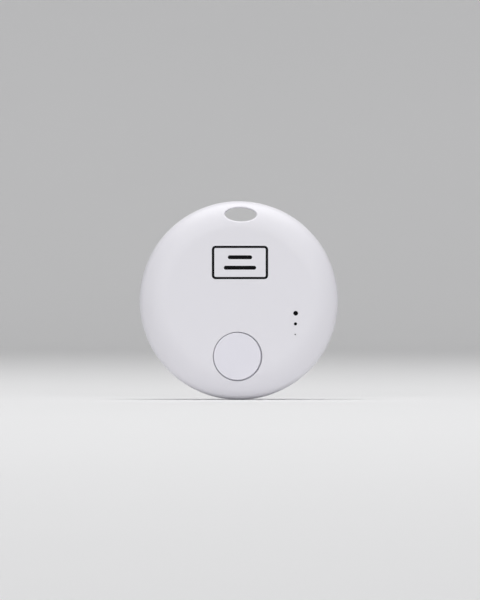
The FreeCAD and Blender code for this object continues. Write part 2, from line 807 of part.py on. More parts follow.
def button_return_ring():
    outer = FLANGE_R - size.fit_clearance
    body = ring_body("return_ring", outer - size.return_ring_width, outer, FLANGE_REAR, BOARD_FRONT)
    return subpart(body, "button_return_ring", z=-BUTTON_DROP)


def switch_base():
    base = block("switch_block", 0, 0, SWITCH_WIDTH, SWITCH_WIDTH, COVER_REAR, BOARD_FRONT)
    well = post("switch_well", 0, 0, DOME_R + size.dome_clearance, COVER_REAR, DOME_SEAT)
    return subpart(cut("switch_body", base, well), "switch_base", z=-BUTTON_DROP)


def switch_cover():
    reach = SWITCH_WIDTH / 2 + size.cover_thickness / 2
    tab = (size.cover_tab_width, size.cover_thickness, COVER_FRONT, BOARD_FRONT - size.cover_thickness)
    metal = [block("cover_face", 0, 0, SWITCH_WIDTH, SWITCH_WIDTH, COVER_FRONT, COVER_REAR)]
    for number, side in enumerate((-1, 1)):
        metal.append(block(f"cover_tab_{number}", 0, side * reach, *tab))
    hole = post("cover_hole", 0, 0, STEM_R + size.stem_clearance, COVER_FRONT - BEYOND, COVER_REAR)
    return subpart(cut("cover", fuse("cover_metalwork", metal), hole), "switch_cover", z=-BUTTON_DROP)


def bowl_radius(radius, rise):
    """Radius of a bowl that is so wide and so high."""
    return (radius * radius + rise * rise) / (2 * rise)


def switch_dome():
    foot = DOME_R - size.dome_foot_width
    inner_rise = size.dome_height - size.dome_thickness
    body = turned_body(
        "dome",
        [
            (0, DOME_APEX),
            (DOME_R, DOME_SEAT, bowl_radius(DOME_R, size.dome_height), 1),
            (foot, DOME_SEAT),
            (0, DOME_APEX + size.dome_thickness, bowl_radius(foot, inner_rise), -1),
        ],
    )
    return subpart(body, "switch_dome", z=-BUTTON_DROP)


def switch_plunger():
    collar_r, collar_rear = size.stem_flange_diameter / 2, COVER_REAR + size.stem_flange_thickness
    nub_r = size.nub_diameter / 2
    body = turned_body(
        "plunger",
        [
            (0, FLANGE_REAR),
            (STEM_R, FLANGE_REAR),
            (STEM_R, COVER_REAR),
            (collar_r, COVER_REAR),
            (collar_r, collar_rear),
            (nub_r, collar_rear),
            (nub_r, DOME_APEX),
            (0, DOME_APEX),
        ],
    )
    return subpart(body, "switch_plunger", z=-BUTTON_DROP)


# Sounder behind the ports
def sounder():
    place = (PORT_RIGHT, -SOUNDER_DROP)
    bond = ring_body("bond_ring", SEAT_IN, SOUNDER_R, SOUNDER_SEAT, PLATE_FRONT)
    subpart(bond, "sounder_adhesive", *place)
    subpart(disc_body("brass_disc", SOUNDER_R, PLATE_FRONT, PLATE_REAR), "sounder_plate", *place)
    ceramic_r = size.ceramic_diameter / 2
    subpart(disc_body("ceramic_disc", ceramic_r, PLATE_REAR, CERAMIC_REAR), "sounder_ceramic", *place)
    pins = [
        contact_pin("ceramic_pin", 0, size.pin_offset, CERAMIC_REAR),
        contact_pin("plate_pin", -(SOUNDER_R + ceramic_r) / 2, 0, PLATE_REAR),
    ]
    subpart(group("pins", pins), "sounder_pins", *place)
    mesh = disc_body("mesh", MESH_R, size.case_wall, size.case_wall + size.mesh_thickness)
    subpart(mesh, "port_mesh", PORT_RIGHT, -MESH_DROP)


def contact_pin(name, x, z, front):
    """A spring pin that stands on the board and presses on the sounder."""
    foot_top = BOARD_FRONT - size.pin_foot_height
    foot = post(name + "_foot", x, z, size.pin_foot_diameter / 2, foot_top, BOARD_FRONT)
    tip = post(name + "_tip", x, z, size.pin_diameter / 2, front, BOARD_FRONT)
    return fuse(name, [foot, tip])


# Circuit board
def circuit_board():
    disc = post("board_disc", 0, 0, BOARD_R, BOARD_FRONT, BOARD_REAR)
    front, rear = BOARD_FRONT - BEYOND, BOARD_REAR + BEYOND
    holes = [oval("board_notch", size.slot_wall + size.slot_clearance, front, rear)]
    for number, angle in enumerate(SCREW_ANGLES):
        place = on_circle(SCREW_CIRCLE, angle)
        holes.append(post(f"board_screw_hole_{number}", *place, SCREW_R + size.fit_clearance, front, rear))
    for number, angle in enumerate(POST_ANGLES):
        place = on_circle(POST_CIRCLE, angle)
        holes.append(post(f"board_peg_hole_{number}", *place, POST_R + size.fit_clearance, front, rear))
    return subpart(cut("board", disc, fuse("board_holes", holes)), "circuit_board")


def board_screws():
    screws = []
    for number, angle in enumerate(SCREW_ANGLES):
        x, z = on_circle(SCREW_CIRCLE, angle)
        head_rear = BOARD_REAR + size.screw_head_height
        head = post(f"screw_head_{number}", x, z, size.screw_head_diameter / 2, BOARD_REAR, head_rear)
        shank = post(f"screw_shank_{number}", x, z, SCREW_R, SCREW_END, BOARD_REAR)
        depths = (head_rear - size.drive_depth, head_rear + BEYOND)
        drive = [
            block(f"drive_a_{number}", x, z, size.drive_length, size.drive_width, *depths),
            block(f"drive_b_{number}", x, z, size.drive_width, size.drive_length, *depths),
        ]
        blank = fuse(f"screw_blank_{number}", [head, shank])
        screws.append(cut(f"screw_{number}", blank, fuse(f"drive_{number}", drive)))
    return subpart(group("screws", screws), "board_screws")


def board_part(label, x, z, length, width, height, spin=0.0):
    """A chip that stands on the front of the board."""
    front = BOARD_FRONT - height
    half = length / 2
    corners = [(-half, front), (half, front), (half, BOARD_FRONT), (-half, BOARD_FRONT)]
    body = strip_body(label + "_chip", corners, width)
    body.Placement.Rotation = FreeCAD.Rotation(FreeCAD.Vector(0, 1, 0), spin)
    return subpart(body, label, x, z)


def large_board_parts():
    radio = (size.radio_width, size.radio_width, size.radio_height)
    board_part("radio_chip", -size.radio_left, size.radio_rise, *radio)
    beside = -size.radio_left - size.radio_width / 2 - size.crystal_gap
    main = (size.crystal_length, size.crystal_width, size.crystal_height)
    main_rise = size.radio_rise + (size.crystal_spread + size.crystal_width) / 2
    board_part("main_crystal", beside - size.crystal_length / 2, main_rise, *main)
    clock = (size.clock_length, size.clock_width, size.clock_height)
    clock_rise = size.radio_rise - (size.crystal_spread + size.clock_width) / 2
    board_part("clock_crystal", beside - size.clock_length / 2, clock_rise, *clock)
    coil = (size.coil_width, size.coil_width, size.coil_height)
    board_part("boost_coil", size.coil_right, size.coil_rise, *coil)
    along_rim = QUARTER_TURN - size.antenna_angle.number
    board_part(
        "chip_antenna",
        *on_circle(BOARD_R - size.antenna_inset, size.antenna_angle),
        size.antenna_length,
        size.antenna_width,
        size.antenna_height,
        along_rim,
    )
    led_drop = size.port_drop + 2 * size.port_pitch
    board_part("status_led", PORT_RIGHT, -led_drop, size.chip_length, size.chip_width, size.led_height)


def driver_transistor():
    x = size.coil_right
    z = size.coil_rise - (size.coil_width + size.transistor_width) / 2 - size.transistor_gap
    package = (size.transistor_length, size.transistor_width, size.transistor_height)
    board_part("driver_transistor", x, z, *package)
    leads = []
    reach = size.transistor_width / 2 + size.lead_reach / 2
    for number, (across, side) in enumerate(((-0.5, -1), (0.5, -1), (0, 1))):
        lead_x = x + across * size.lead_pitch
        front = BOARD_FRONT - size.lead_thickness
        place = (lead_x, z + side * reach)
        leads.append(block(f"lead_{number}", *place, size.lead_width, size.lead_reach, front, BOARD_FRONT))
    return subpart(group("leads", leads), "transistor_leads")


def chip_row(kind, height, places):
    """Small chips with metal ends: one node for the bodies and one for the ends."""
    bodies, ends = [], []
    front = BOARD_FRONT - height
    for number, (x, z) in enumerate(places):
        middle = size.chip_length - 2 * size.chip_end_length
        bodies.append(block(f"{kind}_{number}", x, z, middle, size.chip_width, front, BOARD_FRONT))
        for side in (-1, 1):
            end_x = x + side * (size.chip_length - size.chip_end_length) / 2
            name = f"{kind}_{number}_end_{side + 1}"
            ends.append(block(name, end_x, z, size.chip_end_length, size.chip_width, front, BOARD_FRONT))
    subpart(group(kind + "_bodies", bodies), kind + "s")
    subpart(group(kind + "_ends", ends), kind + "_terminals")


def small_board_parts():
    """Capacitors beside and below the radio chip, resistors above it."""
    beside = -size.radio_left + size.radio_width / 2 + size.chip_margin
    below = size.radio_rise - size.radio_width / 2 - size.chip_margin
    above = size.radio_rise + size.radio_width / 2 + size.chip_margin
    offsets = [(number - (CHIP_COUNT - 1) / 2) * size.chip_pitch for number in range(CHIP_COUNT)]
    capacitors = [(beside, size.radio_rise + offset) for offset in offsets]
    capacitors += [(-size.radio_left + offset, below) for offset in offsets]
    chip_row("capacitor", size.capacitor_height, capacitors)
    chip_row("resistor", size.resistor_height, [(-size.radio_left + offset, above) for offset in offsets])


# Coin cell, negative side to the board
def coin_cell():
    metal, wall_in = size.cell_metal_thickness, CELL_R - size.cell_metal_thickness
    can = turned_body(
        "can",
        [
            (0, CELL_REAR - metal),
            (wall_in, CELL_REAR - metal),
            (wall_in, CRIMP_FRONT + metal),
            (CELL_R - size.crimp_width, CRIMP_FRONT + metal),
            (CELL_R - size.crimp_width, CRIMP_FRONT),
            (CELL_R - size.can_edge_radius, CRIMP_FRONT),
            (CELL_R, CRIMP_FRONT + size.can_edge_radius, size.can_edge_radius, 1),
            (CELL_R, CELL_REAR - size.can_edge_radius),
            (CELL_R - size.can_edge_radius, CELL_REAR, size.can_edge_radius, 1),
            (0, CELL_REAR),
        ],
    )
    subpart(can, "cell_can")
    cap_r, cap_end = CELL_R - size.cap_inset, CELL_REAR - 2 * metal
    cap = turned_body(
        "negative_cap",
        [
            (0, CELL_FRONT),
            (cap_r - metal, CELL_FRONT),
            (cap_r, CELL_FRONT + metal, metal, 1),
            (cap_r, cap_end),
            (cap_r - metal, cap_end),
            (cap_r - metal, CELL_FRONT + metal),
            (0, CELL_FRONT + metal),
        ],
    )
    subpart(cap, "cell_cap")
    gap = size.cell_clearance
    gasket = turned_body(
        "crimp_gasket",
        [
            (cap_r + gap, CRIMP_FRONT),
            (CELL_R - size.crimp_width - gap, CRIMP_FRONT),
            (CELL_R - size.crimp_width - gap, CRIMP_FRONT + metal),
            (wall_in - gap, CRIMP_FRONT + metal),
            (wall_in - gap, CELL_REAR - metal),
            (cap_r + gap, CELL_REAR - metal),
        ],
    )
    subpart(gasket, "cell_gasket")
    pellet_r = cap_r - metal - size.cell_clearance
    anode_front = CELL_FRONT + metal
    anode_rear = anode_front + size.anode_thickness
    subpart(disc_body("anode", pellet_r, anode_front, anode_rear), "cell_anode")
    subpart(disc_body("cathode", pellet_r, anode_rear, CELL_REAR - metal), "cell_cathode")


# Cell bay on the rear of the board
def battery_frame():
    ring = turned(
        "frame_ring",
        [
            (FRAME_IN, BOARD_REAR),
            (FOOT_R, BOARD_REAR),
            (FOOT_R, FOOT_REAR),
            (FRAME_OUT, FOOT_REAR),
            (FRAME_OUT, FRAME_REAR),
            (FRAME_IN, FRAME_REAR),
        ],
    )
    inner, outer = CELL_R, FOOT_R + BEYOND
    front = BOARD_REAR - BEYOND
    corners = [(inner, front), (outer, front), (outer, WINDOW_REAR), (inner, WINDOW_REAR)]
    window_width = size.clip_width + 2 * size.window_clearance
    windows = []
    for number, angle in enumerate(CLIP_ANGLES):
        windows.append(strip(f"window_{number}", corners, window_width, angle))
    opened = cut("frame_opened", ring, fuse("frame_windows", windows))
    posts = []
    for number, angle in enumerate(POST_ANGLES):
        x, z = on_circle(POST_CIRCLE, angle)
        posts.append(post(f"frame_post_{number}", x, z, POST_R, BOARD_REAR - size.peg_length, COLLAR_END))
    return subpart(fuse("frame", [opened] + posts), "battery_frame")


def positive_clips():
    """Two bent clips that press on the side of the cell."""
    face, rear = CELL_R + size.clip_clearance, WINDOW_REAR - size.window_clearance
    corners = [
        (face, BOARD_REAR),
        (face + size.clip_foot_length, BOARD_REAR),
        (face + size.clip_foot_length, BOARD_REAR + size.clip_thickness),
        (face + size.clip_thickness, BOARD_REAR + size.clip_thickness),
        (face + size.clip_thickness, rear),
        (face, rear),
    ]
    clips = []
    for number, angle in enumerate(CLIP_ANGLES):
        clips.append(strip(f"clip_{number}", corners, size.clip_width, angle))
    return subpart(group("clips", clips), "positive_clips")


def negative_spring():
    """A bowed strip between the board and the negative side of the cell."""
    metal, foot, reach = size.spring_thickness, size.spring_foot_length / 2, size.spring_length / 2
    bend = reach - size.spring_tip_length
    corners = [
        (-reach, CELL_FRONT - metal),
        (-bend, CELL_FRONT - metal),
        (-foot, BOARD_REAR),
        (foot, BOARD_REAR),
        (bend, CELL_FRONT - metal),
        (reach, CELL_FRONT - metal),
        (reach, CELL_FRONT),
        (bend, CELL_FRONT),
        (foot, BOARD_REAR + metal),
        (-foot, BOARD_REAR + metal),
        (-bend, CELL_FRONT),
        (-reach, CELL_FRONT),
    ]
    return subpart(strip_body("spring", corners, size.spring_width), "negative_spring")


def insulating_film():
    rear = BOARD_REAR + size.film_thickness
    disc = post("film_disc", 0, 0, FRAME_IN - size.film_clearance, BOARD_REAR, rear)
    width = size.spring_length + 2 * size.window_clearance
    height = size.spring_width + 2 * size.window_clearance
    opening = block("film_opening", 0, 0, width, height, BOARD_REAR - BEYOND, rear + BEYOND)
    return subpart(cut("film", disc, opening), "insulating_film")


front_shell()
rear_shell()
battery_door()
door_seal()
cell_pad()
button_cap()
button_return_ring()
switch_base()
switch_cover()
switch_dome()
switch_plunger()
sounder()
circuit_board()
board_screws()
large_board_parts()
driver_transistor()
small_board_parts()
coin_cell()
battery_frame()
positive_clips()
negative_spring()
insulating_film()

doc.recompute()
for thing in doc.Objects:
    if "Invalid" in thing.State or "Error" in thing.State:
        raise RuntimeError(f"{thing.Name} did not build: {thing.State}")
for thing in SUBPARTS:
    if thing.Shape.isNull() or not thing.Shape.isValid() or not thing.Shape.Solids:
        raise RuntimeError(f"{thing.Label} has no valid solid")

os.makedirs("parts", exist_ok=True)
for thing in SUBPARTS:
    thing.Shape.exportStep(f"parts/{thing.Label}.step")
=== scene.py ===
import json
import math
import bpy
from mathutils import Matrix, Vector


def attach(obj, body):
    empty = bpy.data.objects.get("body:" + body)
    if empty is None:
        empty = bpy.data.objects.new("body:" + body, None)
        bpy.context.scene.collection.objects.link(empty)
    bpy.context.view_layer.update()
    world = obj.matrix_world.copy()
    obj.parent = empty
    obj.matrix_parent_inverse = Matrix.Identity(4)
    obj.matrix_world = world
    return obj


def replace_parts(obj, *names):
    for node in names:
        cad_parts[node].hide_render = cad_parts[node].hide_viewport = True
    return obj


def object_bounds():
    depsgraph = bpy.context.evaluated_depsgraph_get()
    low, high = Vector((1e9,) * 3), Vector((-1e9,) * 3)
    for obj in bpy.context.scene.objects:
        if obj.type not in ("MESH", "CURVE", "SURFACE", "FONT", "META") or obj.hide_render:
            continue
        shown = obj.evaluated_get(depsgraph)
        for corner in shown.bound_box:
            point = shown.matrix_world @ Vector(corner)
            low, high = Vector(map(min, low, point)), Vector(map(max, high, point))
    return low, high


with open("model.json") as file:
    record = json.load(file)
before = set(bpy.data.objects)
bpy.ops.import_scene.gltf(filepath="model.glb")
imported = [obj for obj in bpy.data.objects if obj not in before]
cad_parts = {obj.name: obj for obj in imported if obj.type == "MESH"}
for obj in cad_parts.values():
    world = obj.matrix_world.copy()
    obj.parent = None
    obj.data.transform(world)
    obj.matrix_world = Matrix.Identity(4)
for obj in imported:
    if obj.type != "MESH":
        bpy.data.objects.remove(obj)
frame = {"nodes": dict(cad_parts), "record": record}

from types import SimpleNamespace

import bmesh
import bpy
import numpy as np
from mathutils import Matrix, Vector
from mathutils.geometry import delaunay_2d_cdt

cad_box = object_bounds()

# Drawing sizes are millimetres. Depth runs back from the front face, and x and z are measured from the
# disc's axis, as in the solids. The object's frame has its origin in the key-ring slot.
MM = 0.001
FRONT, REAR = 1, -1  # the side that a surface faces
CREASE = 32.0  # degrees between two faces above which their edge is sharp
TILT = 1.25  # degrees that the tag hangs off straight in the picture

# Both shells
box_low, box_high = (np.round(np.array(corner) / MM, 3) for corner in cad_box)
CASE_R = box_high[0]
CASE_DEPTH = box_high[1] - box_low[1]
SLOT_RISE = CASE_R - box_high[2]  # height of the frame's origin over the disc's axis
WALL = 1.0
KNEE = 40.0  # degrees that the shoulder of a shell's side turns through; its edge turns the rest
SEAM = 4.5  # depth where the shells meet
SEAM_CHAMFER = 0.12
INSIDE_R = 18.5  # inside of the shells at the seam
RIM_R = 18.72  # where a shell's outer skin changes from triangles to rows
BACK_RIM_R = 18.3  # where its inner skin does
SLOT = (0.0, 16.461, 3.025, 1.344)  # place of the ring's slot, and its half sizes
SLOT_TUBE = 0.25  # thickness of the tube round the slot

# Front shell
BUTTON_AT = (0.0, -10.698)
BUTTON_HOLE_R = 4.692
PORT_X = 10.92
PORTS = ((-2.2, 0.454), (-4.23, 0.3), (-6.26, 0.136))  # height and radius of each hole
PRINT_AT = (0.07, 7.265)

# Rear shell and battery door
RECESS_R = 12.5  # the recess that the door lies in
OPENING_R = 11.5  # bore of the battery opening
COLLAR_R = 13.05  # outside of the threaded collar round the opening
COLLAR_END = 4.9  # depth of the collar's inner end
SEAL_SEAT = 6.7  # depth of the step that the seal lies on
THREAD_LEAD = 4.8  # climb of the thread in one turn
RUN_R = 12.1  # the thread runs reach this far out
RUN_LEAVE = 100.5  # degrees along a thread run where it has climbed out of the bore
# Degrees along a run where the bore has a column of points, and the columns' angles in all three runs
RUN_STEPS = np.concatenate(
    [[0, 1e-4], np.linspace(1.5, 33, 22), np.linspace(34.5, RUN_LEAVE, 45), [105, 110, 115]]
)
RUN_TURN = -np.radians((RUN_STEPS + np.array([[-3.0], [117.0], [237.0]])).ravel())
DOOR_FACE = 7.9  # depth of the door's outer face
MARK_R = 0.4  # alignment dots
MARK_DEPTH = 0.2
MARK_TURNS = np.radians([90.0, 90.0 - 97.5])  # where the door's dot is when the door is shut and when free


# Meshes
def in_frame(x, depth, z):
    """Drawing millimetres to the object's frame in metres."""
    return np.stack(np.broadcast_arrays(x, depth - CASE_DEPTH / 2, z - SLOT_RISE), axis=-1) * MM


def sheet_of(points):
    """Quads over points[row, column]; the last column joins the first one."""
    rows, columns = points.shape[:2]
    index = np.arange(rows * columns).reshape(rows, columns)
    beside = np.roll(index, -1, axis=1)
    quads = np.stack([index[:-1], beside[:-1], beside[1:], index[1:]], axis=-1)
    return points.reshape(-1, 3), quads.reshape(-1, 4)


def piece(name, patches, body, material):
    """One mesh from patches of points and faces, joined at their shared edges, with all faces outwards."""
    points, faces, start = [], [], 0
    for patch_points, patch_faces in patches:
        points.append(patch_points)
        faces += (patch_faces + start).tolist()
        start += len(patch_points)
    mesh = bpy.data.meshes.new(name)
    mesh.from_pydata(np.concatenate(points), [], faces)
    form = bmesh.new()
    form.from_mesh(mesh)
    bmesh.ops.remove_doubles(form, verts=form.verts, dist=4e-7)
    bmesh.ops.dissolve_degenerate(form, edges=form.edges, dist=1e-8)
    bmesh.ops.recalc_face_normals(form, faces=form.faces)
    form.to_mesh(mesh)
    form.free()
    mesh.polygons.foreach_set("use_smooth", np.ones(len(mesh.polygons), dtype=bool))
    mesh.set_sharp_from_angle(angle=math.radians(CREASE))
    thing = bpy.data.objects.new(name, mesh)
    bpy.context.scene.collection.objects.link(thing)
    mesh.materials.append(material)
    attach(thing, body)
    return thing


# Outlines that are turned about the disc's axis
def line(*corners):
    """Straight legs from corner to corner, each corner a radius and a depth."""
    return np.array(corners, dtype=float)


def bend(centre, radius, start, end, face, steps):
    """Arc about a centre: radius + R sin(t) and depth -/+ R cos(t), with t from the disc's axis."""
    turn = np.radians(np.linspace(start, end, steps + 1))
    return np.stack([centre[0] + radius * np.sin(turn), centre[1] - face * radius * np.cos(turn)], axis=1)


class Outline:
    """A line of radius and depth, and the length along it, which starts as the first point's radius.

    Up to its widest point, each radius has one length and one depth.
    """

    def __init__(self, *legs):
        self.radius, self.depth = np.concatenate(legs).T
        steps = np.hypot(np.diff(self.radius), np.diff(self.depth))
        self.length = self.radius[0] + np.concatenate([[0.0], np.cumsum(steps)])
        self.rising = slice(int(np.argmax(self.radius)) + 1)

    def length_at(self, radius):
        """Length along the line at a radius."""
        return np.interp(radius, self.radius[self.rising], self.length[self.rising])

    def depth_at(self, radius):
        """Depth of the line at a radius."""
        return np.interp(radius, self.radius[self.rising], self.depth[self.rising])

    def rolled(self, length, angle):
        """The point a length along the line, turned to an angle from +x towards +z."""
        radius = np.interp(length, self.length, self.radius)
        depth = np.interp(length, self.length, self.depth)
        return in_frame(radius * np.cos(angle), depth, radius * np.sin(angle))

    def laid(self, x, z):
        """The surface rolled out flat: a point keeps its angle, and its distance from 0 is its length."""
        stretch = self.length_at(np.hypot(x, z)) / np.maximum(np.hypot(x, z), 1e-9)
        return x * stretch, z * stretch


def angles(count):
    """Equal steps once round."""
    return np.arange(count) * 2 * np.pi / count


ROUND = angles(288)


def turned(rows, x=0.0, z=0.0, turn=ROUND):
    """Outline rows of radius and depth, turned about an axis at x and z."""
    radius, depth = rows[:, :1], rows[:, 1:]
    return sheet_of(in_frame(x + radius * np.cos(turn), depth, z + radius * np.sin(turn)))


# Holes and dimples
def oval(x, z, wide, high, count, edge=0.0, reach=0.0):
    """An ellipse: ring(d) lies d outside it along its normal, and gap is a point's distance from it.

    The normal at (wide cos t, high sin t) is (high cos t, wide sin t). The gap is right to first order.
    edge is the radius that a hole of this outline is rounded by, and reach is where the skin near it stops.
    """

    def ring(away):
        turn = angles(count)
        cross, along = high * np.cos(turn), wide * np.sin(turn)
        size = np.hypot(cross, along)
        return x + wide * np.cos(turn) + away * cross / size, z + high * np.sin(turn) + away * along / size

    def gap(px, pz):
        share = np.hypot((px - x) / wide, (pz - z) / high)
        slope = np.hypot((px - x) / wide**2, (pz - z) / high**2)
        return share * (share - 1) / np.maximum(slope, 1e-9)

    return SimpleNamespace(ring=ring, gap=gap, x=x, z=z, edge=edge, reach=reach)


def rounded_box(x, z, wide, high, corner, count, edge=0.0, reach=0.0):
    """A rectangle of half sizes with round corners: four quarter circles, and straight legs between them.

    The rest is as in an oval.
    """

    def ring(away):
        quarter = count // 4
        turn = (np.arange(quarter) / (quarter - 1) * 0.5 + np.arange(4)[:, None] * 0.5).ravel() * np.pi
        side_x = np.repeat([1, -1, -1, 1], quarter) * (wide - corner)
        side_z = np.repeat([1, 1, -1, -1], quarter) * (high - corner)
        return x + side_x + (corner + away) * np.cos(turn), z + side_z + (corner + away) * np.sin(turn)

    def gap(px, pz):
        over_x, over_z = np.abs(px - x) - (wide - corner), np.abs(pz - z) - (high - corner)
        outside = np.hypot(np.maximum(over_x, 0), np.maximum(over_z, 0))
        return outside + np.minimum(np.maximum(over_x, over_z), 0) - corner

    return SimpleNamespace(ring=ring, gap=gap, x=x, z=z, edge=edge, reach=reach)


def mouth(outline, hole, face):
    """Rounded edge of a hole, and the skin up to its reach.

    At d from the wall, an edge of radius R sinks by R - sqrt(R^2 - (R - d)^2).
    """
    turn = np.radians(np.linspace(0, 90, 8))[:, None]
    level = np.linspace(hole.edge, hole.reach, 5)[1:, None]
    away = np.concatenate([hole.edge * (1 - np.cos(turn)), level])
    sunk = np.concatenate([hole.edge * (1 - np.sin(turn)), level * 0])
    x, z = hole.ring(away)
    return sheet_of(in_frame(x, outline.depth_at(np.hypot(x, z)) + face * sunk, z))


def rim_depth(outline, hole, face):
    """Depth where a hole's rounded edge meets its wall."""
    x, z = hole.ring(0.0)
    return outline.depth_at(np.hypot(x, z)) + face * hole.edge


def wall(hole, start, end, away=0.0, rows=4):
    """Straight side of a hole between two depths."""
    share = np.linspace(0, 1, rows)[:, None]
    x, z = hole.ring(np.full((rows, 1), away))
    return sheet_of(in_frame(x, start + (end - start) * share, z))


def floor_of(hole, depth):
    """Flat bottom of a dimple: its outline drawn in towards its middle."""
    share = np.linspace(1, 0, 4)[:, None]
    x, z = hole.ring(0.0)
    return sheet_of(in_frame(hole.x + (x - hole.x) * share, depth, hole.z + (z - hole.z) * share))


def strip(hole, away, depth):
    """Quads between rings round a hole, each at its own distance and depth."""
    x, z = hole.ring(np.array(away)[:, None])
    return sheet_of(in_frame(x, np.array(depth)[:, None], z))


def even(gap):
    """Spacing that is the same at every length."""
    return lambda length: length * 0 + gap


def skin(outline, inner, outer, spacing, holes, inner_turn=ROUND):
    """A turned surface between two lengths, with holes left open; spacing is the gap between its rings.

    It is rolled out flat, filled with Delaunay triangles between its rims, rings of points and the rings
    round its holes, and rolled back. Every loop is convex, so a triangle with all its corners on one inner
    loop lies in the opening. Each ring is turned a little further than the one inside it, by the twist in
    radians, and its points are the ring gap apart, but never less than the least gap.
    """
    step, least, twist = 0.02, 0.42, 0.37
    loops = [(outer * np.cos(ROUND), outer * np.sin(ROUND))]
    loops += [outline.laid(*hole.ring(hole.reach)) for hole in holes]
    if inner > 0:
        loops.append((inner * np.cos(inner_turn), inner * np.sin(inner_turn)))
    flat = [np.stack(loop, axis=1) for loop in loops]
    sizes = [len(loop) for loop in flat]
    starts = np.cumsum([0] + sizes)
    index = [start + np.arange(size) for start, size in zip(starts, sizes)]
    edges = np.concatenate([np.stack([loop, np.roll(loop, -1)], axis=1) for loop in index])
    owner = np.repeat(np.arange(len(sizes)), sizes)

    # Rings of points, left out near the holes
    length = np.arange(inner + spacing(inner), outer - 0.6 * spacing(outer), step)
    passed = np.cumsum(step / spacing(length))
    rings = length[np.searchsorted(passed, np.arange(0, passed[-1]))]
    for number, ring in enumerate(rings):
        count = max(12, int(2 * np.pi * ring / max(spacing(ring), least)))
        turn = angles(count) + twist * number
        u, v = ring * np.cos(turn), ring * np.sin(turn)
        radius = np.interp(ring, outline.length, outline.radius)
        keep = np.ones(len(u), dtype=bool)
        for hole in holes:
            room = hole.reach + 0.35 * min(spacing(ring), 0.5)
            keep &= hole.gap(radius * np.cos(turn), radius * np.sin(turn)) > room
        flat.append(np.stack([u, v], axis=1)[keep])
    points = np.concatenate(flat)

    # An owner is the number of an inner loop, or 0 for the outer rim and the rings
    owner = np.concatenate([owner, np.zeros(len(points) - len(owner), dtype=int)])
    found = delaunay_2d_cdt(points.tolist(), edges.tolist(), [], 0, 1e-7)
    faces = np.array(found[2])
    corner = owner[np.array([places[0] for places in found[3]])][faces]
    opening = (corner[:, 0] > 0) & (corner == corner[:, :1]).all(axis=1)
    u, v = np.array(found[0]).T
    length = np.maximum(np.hypot(u, v), 1e-9)
    radius = np.interp(length, outline.length, outline.radius)
    depth = np.interp(length, outline.length, outline.depth)
    return in_frame(radius * u / length, depth, radius * v / length), faces[~opening]


def band(outline, lengths):
    """Rows of a turned surface at given lengths, right round it."""
    return sheet_of(outline.rolled(np.asarray(lengths)[:, None], ROUND))


# Case
def side(flat_r, shoulder, edge, face):
    """Legs of a shell's side: its shoulder radius, its edge radius and the chamfer at the seam.

    The shoulder turns by the knee's angle k, so the edge's centre is shoulder (1 - cos k) + edge cos k
    behind the face.
    """
    knee = math.radians(KNEE)
    level = 0.0 if face == FRONT else CASE_DEPTH
    behind = shoulder * (1 - math.cos(knee)) + edge * math.cos(knee)
    return (
        bend((flat_r, level + face * shoulder), shoulder, 0, KNEE, face, 300),
        bend((CASE_R - edge, level + face * behind), edge, KNEE, 90, face, 200),
        line((CASE_R, SEAM - face * SEAM_CHAMFER), (CASE_R - SEAM_CHAMFER, SEAM)),
    )


def rims(outside, inside):
    """Rows over a shell's rim, rows behind it, and its flat edge at the seam."""
    start = outside.length_at(RIM_R)
    rows = np.linspace(start, outside.length_at(CASE_R - 1e-6), 14)
    return [
        band(outside, [*rows, *outside.length[-2:]]),
        band(inside, [inside.length_at(BACK_RIM_R), *inside.length[-2:]]),
        turned(line((INSIDE_R, SEAM), (CASE_R - SEAM_CHAMFER, SEAM))),
    ]


def front_piece(material):
    """The front shell: a flat face, a rounded side and all the holes.

    With the knee's angle k, the shoulder takes shoulder sin k and the edge takes edge (1 - sin k) of the
    radius, and the flat face has the rest.
    """
    shoulder, edge = 7.0, 2.3
    turned_share = math.sin(math.radians(KNEE))
    flat_r = CASE_R - shoulder * turned_share - edge * (1 - turned_share)
    outside = Outline(line((0, 0)), *side(flat_r, shoulder, edge, FRONT))
    inside = Outline(line((0, WALL), (16.1, WALL), (INSIDE_R, 3.6), (INSIDE_R, SEAM)))
    slot = oval(*SLOT, count=144, edge=0.28, reach=0.5)
    slot_back = oval(*SLOT, count=144, reach=SLOT_TUBE)
    button_hole = (*BUTTON_AT, BUTTON_HOLE_R, BUTTON_HOLE_R)
    holes = [slot, oval(*button_hole, count=176, edge=0.09, reach=0.4)]
    backs = [slot_back, oval(*button_hole, count=176)]
    for z, radius in PORTS:
        holes.append(oval(PORT_X, z, radius, radius, count=40, edge=0.06, reach=0.16))
        backs.append(oval(PORT_X, z, radius, radius, count=40))

    def spacing(length):
        """Rings lie close where the outline bends."""
        return np.where(length < flat_r - 0.5, 1.4, np.where(length < flat_r + 4.6, 0.26, 0.2))

    patches = [
        skin(outside, 0, outside.length_at(RIM_R), spacing, holes),
        skin(inside, 0, inside.length_at(BACK_RIM_R), even(2.0), backs),
    ]
    patches += rims(outside, inside)
    patches += [mouth(outside, hole, FRONT) for hole in holes]
    for hole in holes[1:]:
        x, z = hole.ring(0.0)
        patches.append(wall(hole, rim_depth(outside, hole, FRONT), inside.depth_at(np.hypot(x, z))))
    patches += slot_tube(slot, rim_depth(outside, slot, FRONT), inside, FRONT)
    return piece("front_case", patches, "case", material)


def slot_tube(slot, start, inside, face):
    """The slot's wall down to the seam, a fine chamfer, and the tube's other side back to the shell."""
    chamfer = 0.05
    x, z = slot.ring(SLOT_TUBE)
    return [
        wall(slot, start, SEAM - face * chamfer, rows=6),
        strip(slot, (0.0, chamfer), (SEAM - face * chamfer, SEAM)),
        strip(slot, (chamfer, SLOT_TUBE), (SEAM, SEAM)),
        wall(slot, SEAM, inside.depth_at(np.hypot(x, z)), away=SLOT_TUBE),
    ]


